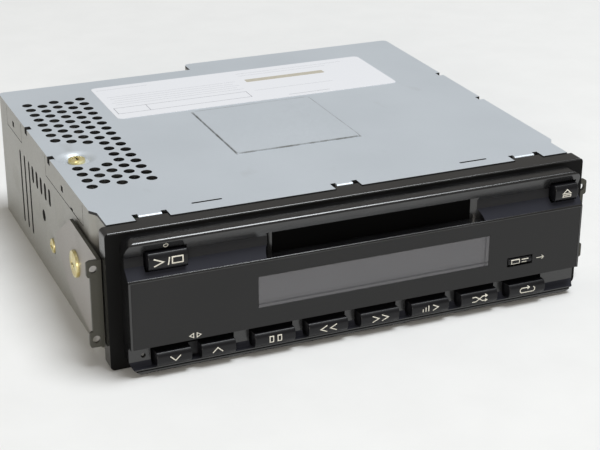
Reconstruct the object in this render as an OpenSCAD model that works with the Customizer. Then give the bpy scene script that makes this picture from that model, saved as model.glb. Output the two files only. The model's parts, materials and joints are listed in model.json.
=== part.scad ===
// Car disc player: a slot-loading unit in a single-height steel case.
// Millimetres. +X is right, -Y is the front, +Z is up.
// Each module is drawn from the case's front edge (y = 0), and at_datum moves
// it so that the origin is the centre of the footprint.

/* [Case] */
// Outside width of the steel case
case_w = 178; // [172:0.5:190]
// Depth of the case, front edge to rear wall
case_d = 155; // [148:1:200]
// Height of the case with its cover
case_h = 50; // [48:0.5:60]
// Thickness of the sheet steel
sheet_t = 1; // [0.8:0.1:1.4]
// How far the left half of the rear wall is stepped forward
step_d = 8; // [4:0.5:14]
// Place of the rear step, from the middle
step_x = -7; // [-25:1:10]
// How far the front end of each side wall is set in
neck_in = 2; // [1.6:0.1:3]
// Depth of the set-in front end
neck_d = 11; // [9:0.5:15]
// Depth of the joggle behind the set-in end
joggle_d = 3; // [2:0.5:6]

/* [Cover] */
// Depth of the side flaps below the cover's face
flap_h = 8.5; // [5:0.5:11]
// Side length of the raised square
pad_w = 49.4; // [30:0.1:60]
// Height of the raised square
pad_h = 0.4; // [0.2:0.1:0.8]
// Distance from the front edge to the raised square
pad_y = 44.6; // [30:0.1:48]
// Width of the outer front notches
notch_w = 12; // [10:0.5:16]
// Depth of the front notches
notch_d = 5; // [4.5:0.25:7]
// Distance of the outer notches from the middle
notch_x = 71; // [60:0.5:73]
// Diameter of the vent holes
vent_dia = 4; // [2:0.1:4.2]
// Pitch of the vent holes along a column
vent_pitch = 6.2; // [5.6:0.1:6.6]
// Label width
label_w = 120; // [80:1:130]
// Label depth
label_d = 40; // [25:1:45]

/* [Front frame] */
// Width of the nose
nose_w = 170; // [160:0.5:172]
// Height of the nose
nose_h = 47; // [44:0.5:47.5]
// How far the rim stands in front of the case
rim_f = 6.5; // [6:0.25:9]
// How far the display plate's face stands in front of the case
plate_f = 15.4; // [14.5:0.1:20]
// Thickness of the display plate
plate_t = 2; // [1.4:0.1:2.6]
// Height of the lower cove with the key row
low_cove_h = 10; // [8.6:0.1:10.5]
// Height of the upper cove with the disc mouth
top_cove_h = 13.2; // [12.2:0.1:14]
// Wall of the nose shell at its top
shell_t = 2; // [1.4:0.1:2.4]

/* [Display] */
// Width of the display window
win_w = 87.7; // [60:0.1:96]
// Height of the display window
win_h = 11.5; // [8:0.1:12]
// Middle of the window, from the middle of the nose
win_x = 3.5; // [-10:0.1:6]

/* [Keys] */
// Gap between keys in the lower row
row_gap = 4.9; // [4:0.1:8]
// Height of a key in the lower row
row_key_h = 5; // [3.6:0.1:5.4]
// How far the lower keys stand in front of the display plate
row_key_out = 1.2; // [0.6:0.1:3]
// Length of the track rocker
rocker_w = 27.7; // [24:0.1:30]
// Travel of a key
key_travel = 0.5; // [0.3:0.05:0.55]
// Width of the power key
power_w = 13.4; // [9:0.1:16]
// Width of the eject key
eject_w = 9.4; // [7:0.1:9.8]
// Height of the power and eject keys
top_key_h = 6; // [5:0.1:6.6]

/* [Disc mouth] */
// Width of the disc mouth at its face
mouth_w = 82.4; // [80:0.1:90]
// Width of the disc tunnel behind it
tunnel_w = 75; // [75:0.1:78]
// Middle of the mouth and of the deck, from the middle of the nose
slot_x = 4; // [-6:0.5:8]

/* [Deck] */
// Width of the disc cartridge
disc_w = 72; // [68:0.5:72]
// Thickness of the disc cartridge
disc_t = 5; // [4:0.1:5]
// Depth of the cartridge holder
holder_d = 74; // [70:1:80]
// How far the holder sinks to play
drop = 5; // [3:0.25:5]
// How far the cam slide travels to sink the holder
cam_travel = 12; // [9:0.5:13]
// Travel of the pickup sled
sled_travel = 16.5; // [10:0.5:17]
// Radius at which the pickup starts to read
lens_start_r = 14.5; // [14.5:0.1:16]
// Radius of the guide pins of holder and slide
guide_pin_r = 1; // [0.8:0.05:1.2]
// Teeth of the rack pinion
rack_pinion_teeth = 18; // [17:1:20]
// Teeth of the loading gear
load_gear_teeth = 36; // [30:2:38]
// Teeth of the motor pinion
motor_pinion_teeth = 18; // [17:1:20]

/* [Electronics] */
// Height of the board bosses
boss_h = 7; // [5:0.5:8]
// Thickness of the circuit boards
pcb_t = 1.6; // [1:0.1:2]

/* [Brackets] */
// Thickness of the mounting brackets
bracket_t = 1.2; // [1:0.1:2]
// Reach of the ears beyond the bracket plate
ear_reach = 3.8; // [3.6:0.1:8]
// Distance between the two holes of a bracket
ear_pitch = 25.5; // [20:0.1:27]
// Diameter of the bracket holes
ear_hole_dia = 2.7; // [2.5:0.1:3.8]
// Length of the rear stud
stud_l = 14; // [8:0.5:16]
// Diameter of the rear stud
stud_dia = 5; // [4:0.5:6]

/* [Fits] */
// Gap between pieces that don't touch
gap = 0.3; // [0.2:0.05:0.4]
// Radial fit of pins, shafts and screws
run_fit = 0.05; // [0.03:0.01:0.1]

/* [Hidden] */
$fn = 48;
// Reach of a cut past the face it starts from
eps = 0.5;

// Case
half_w = case_w / 2;
neck_x = half_w - neck_in;
main_d = case_d - step_d;
bend_r = 2;
bend_steps = 3;
wall_h = case_h - sheet_t;
nut_r = 4.5;
nut_h = 3;
nut_x0 = half_w - sheet_t - nut_h;
vent_slot_r = 1.1;
long_vents = 3;
long_vent_y = 99.9;
long_vent_pitch = 6.9;
long_vent_z = [8, 36];
short_vents = 5;
short_vent_y = 68.8;
short_vent_pitch = 6.3;
short_vent_z = [31.9, 35.7];
short_vent_r = 1.5;
spare_hole = [79.5, 22.7];
spare_hole_r = 2.3;
side_screw = [68.8, 14.6];
dimples = [[122.5, 22.5], [90.6, 22.9], [54.5, 32.9], [71.6, 14]];
dimple_r = 7;
dimple_d = 0.8;
shelf_w = 20;
shelf_drop = 1;
shelf_y = [20, 130];
shelf_root = [74, 106];
shelf_hole_r = 2.2;
shelf_hole_in = 5.5;
shelf_hole_step = [6.2, 10.4];
shelf_cols = 3;
shelf_rows = 10;
floor_slots = 6;
floor_slot_y = 110;
floor_slot_pitch = 5;
floor_slot_x = [20, 44];
jack_l = 8;
rear_reach = max(case_d + jack_l, main_d + stud_l);

// Screws
m3_r = 1.5;
m3_head_r = 2.8;
m3_head_h = 1.5;
m3_grip = 4;
m2_r = 1;
m2_head_r = 2;
m2_head_h = 1.4;
m2_grip = 4;
washer_head_r = 4.4;
cover_head_r = 3.1;
cover_head_h = 1.8;

// Cover
flap_spans = [[22, 72], [109.5, 133]];
lances = [49, 122.6];
lance = [2.6, 2.2];
lance_z = 44.7;
latch_y = 36.5;
latch = [3, 1.6];
reliefs = [66.8, 101];
relief = [3.4, 2.5];
relief_d = 2;
pad_r = 2;
cover_screw_in = 9.5;
cover_screw_y = 63.2;
cover_screw_at = [-half_w + cover_screw_in, cover_screw_y];
dish_r = 6.5;
dish_depth = 1.6;
dish_slope = 2;
lug_half = 6;
mid_notch = [-0.6, 10];
notches = [[-notch_x, notch_w], mid_notch, [notch_x, notch_w]];
tab_d = 2;
tab_h = 5;
tab_side = 2;
slits = [[-50, 6.9], [51, 5.6]];
slit_half = 5;
slit_r = 0.5;
vent_cols = 5;
vent_rows = 16;
vent_edge = 7;
vent_rear_y = 127;
vent_bare_r = 5.4;
vent_bare_y = 3.8;
label_x = 6.5;
label_gap = 3.5;
label_y = pad_y + pad_w + label_gap + label_d / 2;
label_t = 0.12;

// Front frame
rim_over = 0.7;
rim_side = 4;
rim_w = max(case_w, nose_w + 2 * rim_side) + 2 * rim_over;
rim_r = 1.5;
rim_z0 = gap;
rim_z1 = case_h - gap;
tongue_t = 1.5;
nose_drop = 0.5;
nose_z0 = (case_h - nose_h) / 2 - nose_drop;
nose_z1 = nose_z0 + nose_h;
nose_r = 4;
nose_low_r = 5;
lip_r = 1.2;
lip_h = 0.6;
plate_z0 = nose_z0 + low_cove_h;
plate_z1 = nose_z1 - top_cove_h;
plate_back_f = plate_f - plate_t;
plate_edge = 0.8;
low_cove_in = 3.4;
low_lip_in = 1.2;
low_lip_up = 2;
low_cove_step = 5.6;
low_cove_turn = 60;
low_cove_roof = 1;
groove_up = 1.1;
groove_h = 0.5;
groove_d = 0.4;
foot_r = 0.6;
low_cove_f = plate_f - low_cove_in;
low_lip_f = plate_f - low_lip_in;
top_cove_in = 4;
top_lip_in = 2;
top_cove_rise = 3.6;
top_cove_wall = 3.3;
top_cove_f = plate_f - top_cove_in;
top_lip_f = plate_f - top_lip_in;
cave_in = 5;
cave_floor = 2.4;
cave_f = plate_f - cave_in;
side_t = 1.2;
cave_x = nose_w / 2 - side_t;
cave_z0 = nose_z0 + cave_floor;
cave_z1 = nose_z1 - shell_t;
lug_t = 5;
lug_x = neck_x - sheet_t - gap;
lug_end = 1;
lug_root = 2;
frame_screw_back = 1;
frame_screw_z = 22.5;
frame_screw = [neck_d / 2 + frame_screw_back, frame_screw_z];
win_rise = 1;
win_z = (plate_z0 + plate_z1) / 2 + win_rise;
window_in = 0.1;
lcd_over = 1.6;
lcd_holder_f = cave_f - gap;
holder_rim = [0.6, 1];

// Key board and what stands on it
row_key_f = plate_f + row_key_out;
datum_y = (row_key_f - rear_reach) / 2;
board_f1 = 4.6;
board_f0 = board_f1 - pcb_t;
board_edge = 0.8;
post_wall = 1.5;
post_in = 9;
post_x = nose_w / 2 - post_in;
post_low = 3;
post_high = 3.4;
post_cap = 1;
board_posts = [for (sx = [-1, 1], z = [plate_z0 + post_low, plate_z1 - post_high]) [sx * post_x, z]];
switch_w = 4.8;
switch_d = 2;
switch_h = 4.4;
switch_tip = 0.8;
switch_tip_r = 1.3;
switch_f = board_f1 + switch_d + switch_tip;
press_gap = 0.1;
stem_f = switch_f + key_travel + press_gap;
stem_l = 1;
stem_w = 4;
stem_h = 2.4;
flange_f0 = stem_f + stem_l;
flange_f1 = cave_f - gap;
flange_out = 1;
flange_up = 0.8;
key_side = 0.6;
key_crown = 1.1;
row_key_z = cave_z0 + gap;
row_key_up = 1.4;
row_top = row_key_z + row_key_h + row_key_up;
row_keys = 6;
row_start = 9.35;
row_end = 21.5;
rocker_in = 22.2;
rocker_x = -nose_w / 2 + rocker_in;
rocker_side = 0.8;
rocker_web = 1.7;
row_first_x = rocker_x + rocker_w / 2 + row_gap + row_start;
row_pitch = (nose_w / 2 - row_end - row_first_x) / (row_keys - 1);
row_key_w = row_pitch - row_gap;
top_key_drop = 0.8;
top_key_z = cave_z1 - gap - flange_out - top_key_drop - top_key_h;
top_key_in = 0.2;
power_in = 13.8;
power_x = -nose_w / 2 + power_in;
eject_in = 6.8;
eject_x = nose_w / 2 - eject_in;
display_key_in = 24.8;
display_key_x = nose_w / 2 - display_key_in;
display_key_w = 9.7;
display_key_h = 2.9;
display_key_up = 5.3;
display_key_z = plate_z0 + display_key_up;
display_key_out = 0.3;
reset_edge = 5;
reset_up = 3.2;
reset_x = -nose_w / 2 + reset_edge;
reset_z = row_key_z + reset_up;
reset_r = 0.7;
reset_fit = 0.15;
reset_collar = 0.8;
reset_in = 1;
rocker_pin_r = 1;
rocker_pin_l = 1;
rocker_pin_in = 1.6;
rocker_pin_f = cave_f - rocker_pin_in;
rocker_lug_z0 = row_top + flange_up;
rocker_lug_h = 1.8;
rocker_lug_wall = 1.6;
rocker_press_x = 7.7;
rocker_pad_w = 3;

// Disc mouth and flap
slot_z0 = plate_z1 + lip_h;
mouth_top = 3;
slot_z1 = nose_z1 - mouth_top;
mouth_lip = 1.6;
tunnel_wall = 2;
tunnel_floor = 1.2;
flap_t = 1.2;
flap_pin_r = 0.75;
flap_in = 0.4;
flap_drop = 1;
flap_axis_f = cave_f - flap_in;
flap_axis_z = slot_z1 - flap_drop;
flap_top = 0.5;
flap_pin_l = 1.2;

// Deck, built up from the level of the disc in the mouth
holder_t = 0.8;
holder_y = 3;
disc_side = 0.6;
disc_top = 0.6;
holder_rise = 2.2;
holder_in_w = disc_w + 2 * disc_side;
holder_w = holder_in_w + 2 * holder_t;
holder_in_z = slot_z0 + holder_rise;
holder_in_h = disc_t + disc_top;
holder_pin_z = holder_in_z + holder_in_h / 2;
holder_ledge = 7.6;
holder_open = [44, 40];
holder_open_r = 4;
pin_out = 0.8;
deck_t = 1;
deck_clear = 3.6;
holder_side = 1.6;
deck_wall_x = holder_w / 2 + holder_side;
deck_wall_y1 = 90;
cam_side = 0.4;
cam_foot = 1.6;
cam_head = 2.2;
cam_x = deck_wall_x + deck_t + cam_side;
cam_z0 = holder_pin_z - drop - guide_pin_r - cam_foot;
cam_z1 = holder_pin_z + guide_pin_r + cam_head;
deck_z1 = holder_in_z - holder_t - drop - deck_clear;
deck_z0 = deck_z1 - deck_t;
deck_y0 = 8;
deck_y1 = 108;
deck_half = 46;
deck_edge = 3;
pin_y = [20, 64];
stud_y = [38, 86];
stud_up = 1.2;
stud_z = cam_z0 + guide_pin_r + stud_up;
guide_slack = 0.15;
cam_front = 2.5;
cam_y0 = pin_y[0] - cam_travel - guide_pin_r - cam_front;
cam_y1 = 92;
cam_bar = 6;

// Posts and dampers under the deck
damper_x = 54;
damper_y = [14, 104];
damper_flange_r = 5.5;
damper_flange_h = 3;
damper_neck_r = 3.5;
damper_ear = 2;
damper_arm = 4;
post_shank_r = 2;
post_base_r = 4.5;
post_clear = 0.6;

// Spindle and pickup
spindle_back = 2;
spindle_y = holder_y + holder_d / 2 + spindle_back;
motor_r = 11;
motor_h = 6.5;
motor_boss_r = 4;
motor_boss_gap = 0.8;
motor_boss_hole_r = 5;
shaft_r = 1;
shaft_l = 4.5;
turntable_up = 2;
turntable_z = deck_z1 + turntable_up;
turntable_r = 9;
hub_r = 3;
hub_h = 1.2;
turntable_top = holder_in_z - drop + hub_h;
rail_r = 1.25;
rail_y = 14;
rail_down = 5;
rail_z = deck_z0 - rail_down;
screw_y = 21;
screw_r = 1.5;
screw_end = 3;
sled_in = motor_r + gap - lens_start_r;
sled_x0 = lens_start_r + sled_in;
sled_l = 19.2;
sled_side = 2.6;
sled_foot = 3.5;
sled_top = 0.6;
sled_z0 = rail_z - sled_foot;
sled_z1 = deck_z0 - sled_top;
nut_x = [6, 12];
lens_block = 8;
lens_clear = 0.6;
lens_r = 2;
lens_h = 0.5;
lens_down = 1;
lens_z = holder_in_z - drop - holder_t - lens_down;
bearing_t = 3;
bearing_wall = 2.5;
bearing_foot = 3;
bearing_x0 = 2;
sled_spare = 1.8;
bearing_x1 = sled_x0 + sled_l + sled_travel + sled_spare;
rail_cap = 1;
feed_motor_l = 14;
feed_motor_r = 6;

// Loading drive and ejector
load_module = 0.5;
rack_module = 0.6;
pressure_angle = 20;
dedendum = 1.25;
gear_play = 0.2;
rack_pinion_r = rack_module * rack_pinion_teeth / 2;
load_gear_r = load_module * load_gear_teeth / 2;
motor_pinion_r = load_module * motor_pinion_teeth / 2;
rack_out = 4;
rack_line_x = -cam_x - deck_t - rack_out;
rack_z1 = holder_pin_z - drop - guide_pin_r - gap;
rack_spare = 4;
rack_teeth_ahead = 3;
load_gear_x = rack_line_x - rack_pinion_r;
load_gear_y = 66;
load_gear_up = 1.3;
load_gear_z = deck_z1 + load_gear_up;
load_gear_t = 2;
load_plate = 11;
gear_pin_r = 1.2;
gear_pin_head = 0.8;
load_motor_y = load_gear_y + load_gear_r + motor_pinion_r;
load_motor_r = 8.5;
load_motor_h = 14;
motor_shaft_r = 0.8;
motor_shaft_l = 5.5;
motor_hole_r = 2;
ejector_in = 2.2;
ejector_x = -holder_in_w / 2 + ejector_in;
ejector_y = 30;
ejector_rear = 34;
ejector_travel = holder_d - ejector_rear;
ejector_l = 6;
ejector_t = 1;
ejector_slot_r = 1.5;
ejector_play = 0.2;
ejector_lip = 0.7;
ejector_arm = 6;

// Main board
board_z0 = sheet_t + boss_h;
board_z1 = board_z0 + pcb_t;
board_side = 5;
board_rear = 8;
board_x = half_w - board_side;
board_y0 = 8;
board_y1 = main_d - board_rear;
boss_r = 3;
boss_end = 2;
boss_in = 5;
boss_rear = 12;
boss_y = [30, 76, board_y1 - boss_rear];
bosses = [for (sx = [-1, 1], y = boss_y) [sx * (board_x - boss_in), y]];
// Middle (x, y), side and height of each chip
chips = [[-30, 34, 14, 2], [22, 44, 18, 2.2], [48, 86, 12, 2], [-6, 84, 16, 2], [66, 118, 12, 2.6]];
// Place along x, radius and height of each capacitor
caps = [[-22, 6.5, 22], [-4, 6.5, 22], [12, 5, 16], [25, 4, 12]];
caps_back = 14;
caps_y = deck_y1 + caps_back;
sink_d = 9;
sink_gap = 3;
sink_back = 3;
sink_fins = 5;
sink_side = 6;
sink_up = 3;
sink_top = 10;
sink_x0 = -half_w + sink_side;
sink_z0 = board_z1 + sink_up;
sink_z1 = case_h - sink_top;
reg_w = 9;
reg_t = 3;
reg_pitch = 12;
reg_x = 2;
reg_h = 12;
reg_z1 = sink_z0 + reg_h;
ribbon_t = 0.3;
ribbon_foot = 4;
front_ribbon_x = [-24, 6];
deck_ribbon_x = [12, 32];
deck_ribbon_in = 12;
deck_ribbon_end = 5;
ribbon_gap = 0.1;

// Brackets
bracket_x = rim_w / 2 + gap;
bracket_f = 1;
bracket_front = -bracket_f - bracket_t;
bracket_z = [7.4, 39.2];
bracket_plan = [[bracket_front, bracket_z[0]], [13, 6.5], [39.6, 12.2], [54.3, 25.7], [31.5, 40.4],
                [bracket_front, bracket_z[1]]];
bracket_screw_y = 26.1;
bracket_screw_z = 26;
bracket_screw_r = 2.5;
bracket_head_r = 4.9;
bracket_head_h = 1.4;
bracket_boss_r = 8;
bracket_lip = 3.9;
bracket_lip_up = 0.4;
ear_h = 5.8;
ear_r = 1;
ear_rise = 0.1;
ear_z = (bracket_z[0] + bracket_z[1]) / 2 + ear_rise;
ear_hole_out = 2.75;
ear_hole_x = bracket_x + ear_hole_out;

// Rear wall fittings
jack_r = 4.2;
jack_bore_r = 1.6;
jack_body = [5.5, 9, 6];
jack_step = 15;
jack_pitch = 14;
jack_x = [step_x + jack_step, step_x + jack_step + jack_pitch];
jack_z = 22;
harness_w = 30;
harness_h = 14;
harness_d = 12;
harness_out = 2;
harness_wall = 1.4;
harness_lip = 1.2;
harness_step = 55;
harness_x = step_x + harness_step;
harness_z = 14;
harness_pins = 8;
harness_pin_l = 4;
harness_pin_r = 0.5;
stud_x = (step_x - half_w) / 2;
stud_head = 3;
stud_head_out = 2.5;
stud_nut_l = 3.5;
stud_nut_out = 2;
rear_stud_z = case_h / 2;

// Moves children from the case's front edge to the centred frame
module at_datum() {
    translate([0, datum_y, 0])
        children();
}

// A box between two corners
module block(a, b) {
    translate(a)
        cube(b - a);
}

// An outline in (y, z) made into a bar from x0 to x1
module along_x(x0, x1) {
    translate([x0, 0, 0])
        rotate([90, 0, 90])
            linear_extrude(x1 - x0)
                children();
}

// An outline in (x, z) made into a bar from y0 to y1
module along_y(y0, y1) {
    translate([0, y1, 0])
        rotate([90, 0, 0])
            linear_extrude(y1 - y0)
                children();
}

// An outline in (x, y) made into a plate from z0 to z1
module along_z(z0, z1) {
    translate([0, 0, z0])
        linear_extrude(z1 - z0)
            children();
}

// Round bars along the three axes
module rod_x(r, x0, x1, y, z) {
    translate([x0, y, z])
        rotate([0, 90, 0])
            cylinder(r = r, h = x1 - x0);
}

module rod_y(r, y0, y1, x, z) {
    translate([x, y1, z])
        rotate([90, 0, 0])
            cylinder(r = r, h = y1 - y0);
}

module rod_z(r, z0, z1, x, y) {
    translate([x, y, z0])
        cylinder(r = r, h = z1 - z0);
}

// A rectangle with round corners, about its middle
module rounded(w, h, r) {
    square([w - 2 * r, h], center = true);
    square([w, h - 2 * r], center = true);
    for (sx = [-1, 1], sy = [-1, 1])
        translate([sx * (w / 2 - r), sy * (h / 2 - r)])
            circle(r);
}

// A slot with round ends between two points of an outline
module round_slot(a, b, r) {
    d = b - a;
    translate(a)
        rotate(atan2(d[1], d[0]))
            translate([0, -r])
                square([norm(d), 2 * r]);
    for (p = [a, b])
        translate(p)
            circle(r);
}

// A cross-head screw pointing down, its head on z = 0
module screw(head_r, head_h, shank_r, shank_l) {
    recess_w = head_r * 0.3;
    difference() {
        union() {
            cylinder(r = head_r, h = head_h);
            translate([0, 0, -shank_l])
                cylinder(r = shank_r, h = shank_l);
        }
        for (a = [0, 90])
            rotate(a)
                translate([-head_r * 0.6, -recess_w / 2, head_h * 0.45])
                    cube([head_r * 1.2, recess_w, head_h]);
    }
}

// Draws children on the right and mirrored on the left
module both_sides() {
    for (m = [0, 1])
        mirror([m, 0, 0])
            children();
}

// A screw that points along X to the middle of the case
module side_screw_at(side, x, y, z, head_r, head_h, shank_r, shank_l) {
    translate([side * x, y, z])
        rotate([0, side * 90, 0])
            screw(head_r, head_h, shank_r, shank_l);
}

// Points on an elliptical arc
function arc(c, a, b, from, to, n = 8) =
    [for (i = [0:n]) let (t = from + (to - from) * i / n) [c[0] + a * cos(t), c[1] + b * sin(t)]];

// Outline of a slot with round ends
function slot_points(a, b, r) =
    let (t = atan2(b[1] - a[1], b[0] - a[0]))
    concat(arc(b, r, r, t - 90, t + 90), arc(a, r, r, t + 90, t + 270));

// Gear teeth: involute flanks over a radial root
function involute(a) = tan(a) * 180 / PI - a;
function polar(r, a) = [r * cos(a), r * sin(a)];
function tooth_half(r, pitch_r, n, play) =
    let (base_r = pitch_r * cos(pressure_angle))
    90 / n - play / 2 / pitch_r * 180 / PI + involute(pressure_angle)
        - involute(acos(min(1, base_r / r)));
function gear_points(n, m, play) =
    let (pitch_r = m * n / 2, root = pitch_r - dedendum * m, foot = max(root, pitch_r * cos(pressure_angle)))
    [for (i = [0:n - 1])
        let (a = i * 360 / n)
        each concat(
            [polar(root, a - tooth_half(foot, pitch_r, n, play))],
            [for (k = [0:4]) let (r = foot + (pitch_r + m - foot) * k / 4)
                polar(r, a - tooth_half(r, pitch_r, n, play))],
            [for (k = [4:-1:0]) let (r = foot + (pitch_r + m - foot) * k / 4)
                polar(r, a + tooth_half(r, pitch_r, n, play))],
            [polar(root, a + tooth_half(foot, pitch_r, n, play))])];

// Plan of the case, inset by i, with its bent rear corners
function bend(x, y, a, i) = [for (k = [0:bend_steps]) [x, y] + polar(bend_r - i, a - k * 90 / bend_steps)];
function left_edge(i) = concat(
    [[-neck_x + i, 0], [-neck_x + i, neck_d], [-half_w + i, neck_d + joggle_d]],
    bend(bend_r - half_w, main_d - bend_r, 180, i), [[step_x + i, main_d - i]],
    bend(step_x + bend_r, case_d - bend_r, 180, i));
function right_edge(i) = concat(bend(half_w - bend_r, case_d - bend_r, 90, i),
    [[half_w - i, neck_d + joggle_d], [neck_x - i, neck_d], [neck_x - i, 0]]);
function case_plan(i) = concat(left_edge(i), right_edge(i));
function backwards(p) = [for (k = [len(p) - 1:-1:0]) p[k]];

// Case tub of folded sheet steel: floor, side walls and rear wall
module chassis() {
    color("lightsteelblue")
    at_datum()
    difference() {
        union() {
            along_z(0, sheet_t)
                polygon(case_plan(0));
            along_z(0, wall_h)
                polygon(concat(case_plan(0), backwards(case_plan(sheet_t))));
            for (p = bosses)
                rod_z(boss_r, 0, board_z0, p[0], p[1]);
            both_sides() {
                rod_x(nut_r, nut_x0, half_w - sheet_t / 2, bracket_screw_y, bracket_screw_z);
                rod_x(boss_r, nut_x0, half_w - sheet_t / 2, side_screw[0], side_screw[1]);
            }
            cover_lug();
            vent_shelf();
        }
        both_sides() {
            along_x(half_w - sheet_t, half_w + eps)
                wall_openings();
            along_x(nut_x0 - eps, half_w + eps)
                screw_holes();
            side_dimples();
        }
        for (p = bosses)
            rod_z(m3_r + run_fit, sheet_t, board_z0 + eps, p[0], p[1]);
        rod_z(m3_r + run_fit, wall_h - flap_h, case_h, cover_screw_at[0], cover_screw_at[1]);
        rear_cuts();
        floor_cuts();
    }
}

// Upright vent slot of a side wall, in (y, z)
module upright_slot(y, z, r) {
    round_slot([y, z[0]], [y, z[1]], r);
}

// Vent slots, flap openings and bend reliefs of a side wall, in (y, z)
module wall_openings() {
    for (k = [0:long_vents - 1])
        upright_slot(long_vent_y + k * long_vent_pitch, long_vent_z, vent_slot_r);
    for (k = [0:short_vents - 1])
        upright_slot(short_vent_y + k * short_vent_pitch, short_vent_z, short_vent_r);
    relief_notches();
    for (s = flap_spans)
        translate([s[0] - gap, case_h - flap_h - gap])
            square([s[1] - s[0] + 2 * gap, flap_h + 2 * gap]);
}

// Bend reliefs along the cover's side edge, in (y, z)
module relief_notches() {
    for (y = reliefs)
        translate([y - relief[0] / 2, case_h - relief[1]])
            square([relief[0], relief[1] + eps]);
}

// Round holes of a side wall and of the bosses behind it, in (y, z)
module screw_holes() {
    translate(spare_hole)
        circle(spare_hole_r);
    translate(side_screw)
        circle(m3_r + run_fit);
    translate([bracket_screw_y, bracket_screw_z])
        circle(bracket_screw_r + run_fit);
    translate(frame_screw)
        circle(m3_r + run_fit);
}

// Shallow round dimples pressed into the right side wall
module side_dimples() {
    ball_r = (dimple_r * dimple_r + dimple_d * dimple_d) / 2 / dimple_d;
    for (p = dimples)
        translate([half_w + ball_r - dimple_d, p[0], p[1]])
            sphere(ball_r, $fn = 96);
    rod_x(m3_head_r + gap, half_w - dimple_d, half_w + eps, side_screw[0], side_screw[1]);
}

// Bracket inside the left wall that takes the cover screw
module cover_lug() {
    z1 = case_h - dish_depth - sheet_t;
    wall_x = -half_w + sheet_t / 2;
    block([wall_x, cover_screw_at[1] - lug_half, z1 - sheet_t],
          [cover_screw_at[0] + lug_half, cover_screw_at[1] + lug_half, z1]);
    block([wall_x, cover_screw_at[1] - lug_half, case_h - flap_h - lug_half],
          [wall_x + 1.5 * sheet_t, cover_screw_at[1] + lug_half, z1]);
}

// Pierced shelf of the left wall, below the cover's vents
module vent_shelf() {
    z0 = wall_h - shelf_drop - sheet_t;
    inner_x = -half_w + sheet_t;
    difference() {
        union() {
            block([inner_x + gap, shelf_y[0], z0], [inner_x + shelf_w, shelf_y[1], z0 + sheet_t]);
            block([inner_x - sheet_t / 2, shelf_root[0], z0],
                  [inner_x + 2 * gap, shelf_root[1], z0 + sheet_t]);
        }
        rod_z(dish_r + sheet_t + gap, z0 - eps, case_h, cover_screw_at[0], cover_screw_at[1]);
        for (c = [0:shelf_cols - 1], k = [0:shelf_rows - 1])
            rod_z(shelf_hole_r, z0 - eps, case_h, inner_x + shelf_hole_in + c * shelf_hole_step[0],
                  shelf_y[0] + (k + 0.5 + (c % 2) / 2) * shelf_hole_step[1]);
    }
}

// Openings in the rear wall for the sockets and the stud
module rear_cuts() {
    block([harness_x - harness_w / 2 - gap, case_d - 2 * sheet_t, harness_z - gap],
          [harness_x + harness_w / 2 + gap, case_d + eps, harness_z + harness_h + gap]);
    for (x = jack_x)
        rod_y(jack_r + run_fit, case_d - 2 * sheet_t, case_d + eps, x, jack_z);
    rod_y(stud_dia / 2 + run_fit, main_d - 2 * sheet_t, main_d + eps, stud_x, rear_stud_z);
}

// Cooling slots in the floor below the main board
module floor_cuts() {
    both_sides()
        along_z(-eps, sheet_t + eps)
            for (k = [0:floor_slots - 1])
                translate([0, floor_slot_y + k * floor_slot_pitch])
                    round_slot([floor_slot_x[0], 0], [floor_slot_x[1], 0], vent_slot_r);
}

// Cover plate with flaps, raised square, screw dish, vents and notches
module top_cover() {
    color("lightsteelblue")
    at_datum()
    difference() {
        union() {
            difference() {
                along_z(wall_h, case_h)
                    polygon(case_plan(0));
                for (n = notches)
                    block([n[0] - n[1] / 2, -eps, 0], [n[0] + n[1] / 2, notch_d, case_h + eps]);
            }
            both_sides()
                for (s = flap_spans)
                    block([half_w - sheet_t, s[0], case_h - flap_h], [half_w, s[1], case_h]);
            translate([0, pad_y + pad_w / 2, 0])
                along_z(case_h - sheet_t / 2, case_h + pad_h)
                    rounded(pad_w, pad_w, pad_r);
            translate([cover_screw_at[0], cover_screw_at[1], case_h - dish_depth - sheet_t])
                cylinder(r1 = dish_r + sheet_t - dish_slope, r2 = dish_r + sheet_t, h = dish_depth + sheet_t);
            for (n = notches)
                notch_tab(n[0], n[1] - 2 * tab_side);
        }
        translate([cover_screw_at[0], cover_screw_at[1], case_h - dish_depth])
            cylinder(r1 = dish_r - dish_slope, r2 = dish_r, h = dish_depth);
        rod_z(m3_r + run_fit, 0, case_h, cover_screw_at[0], cover_screw_at[1]);
        for (p = vent_places())
            rod_z(vent_dia / 2, wall_h - eps, case_h + eps, p[0], p[1]);
        for (s = slits)
            along_z(wall_h - eps, case_h + eps)
                round_slot([s[0] - slit_half, s[1]], [s[0] + slit_half, s[1]], slit_r);
        both_sides() {
            along_x(half_w - relief_d, half_w + eps)
                relief_notches();
            along_x(half_w - sheet_t - eps, half_w + eps)
                flap_cuts();
        }
    }
}

// Lanced holes and latch notch of the side flaps, in (y, z)
module flap_cuts() {
    for (y = lances)
        translate([y, lance_z])
            square(lance, center = true);
    translate([latch_y, case_h - flap_h])
        square(latch, center = true);
}

// Tab in a front notch, bent down behind the frame's tongue
module notch_tab(x, w) {
    tab_y = notch_d - tab_d;
    block([x - w / 2, tab_y, wall_h], [x + w / 2, notch_d + eps, case_h]);
    block([x - w / 2, tab_y, case_h - tab_h], [x + w / 2, tab_y + sheet_t, case_h]);
}

// Staggered columns of vent holes, bare around the cover screw
function vent_places() =
    [for (c = [0:vent_cols - 1], k = [0:vent_rows - 1 - c % 2])
        let (p = [-half_w + vent_edge + c * vent_pitch * sin(60),
                  vent_rear_y - (k + (c % 2) / 2) * vent_pitch])
        if (norm(p - cover_screw_at - [0, vent_bare_y]) > dish_r + vent_bare_r) p];

// Bare paper label on the cover
module rating_label() {
    color("white")
    at_datum()
    block([label_x - label_w / 2, label_y - label_d / 2, case_h],
          [label_x + label_w / 2, label_y + label_d / 2, case_h + label_t]);
}

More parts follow.
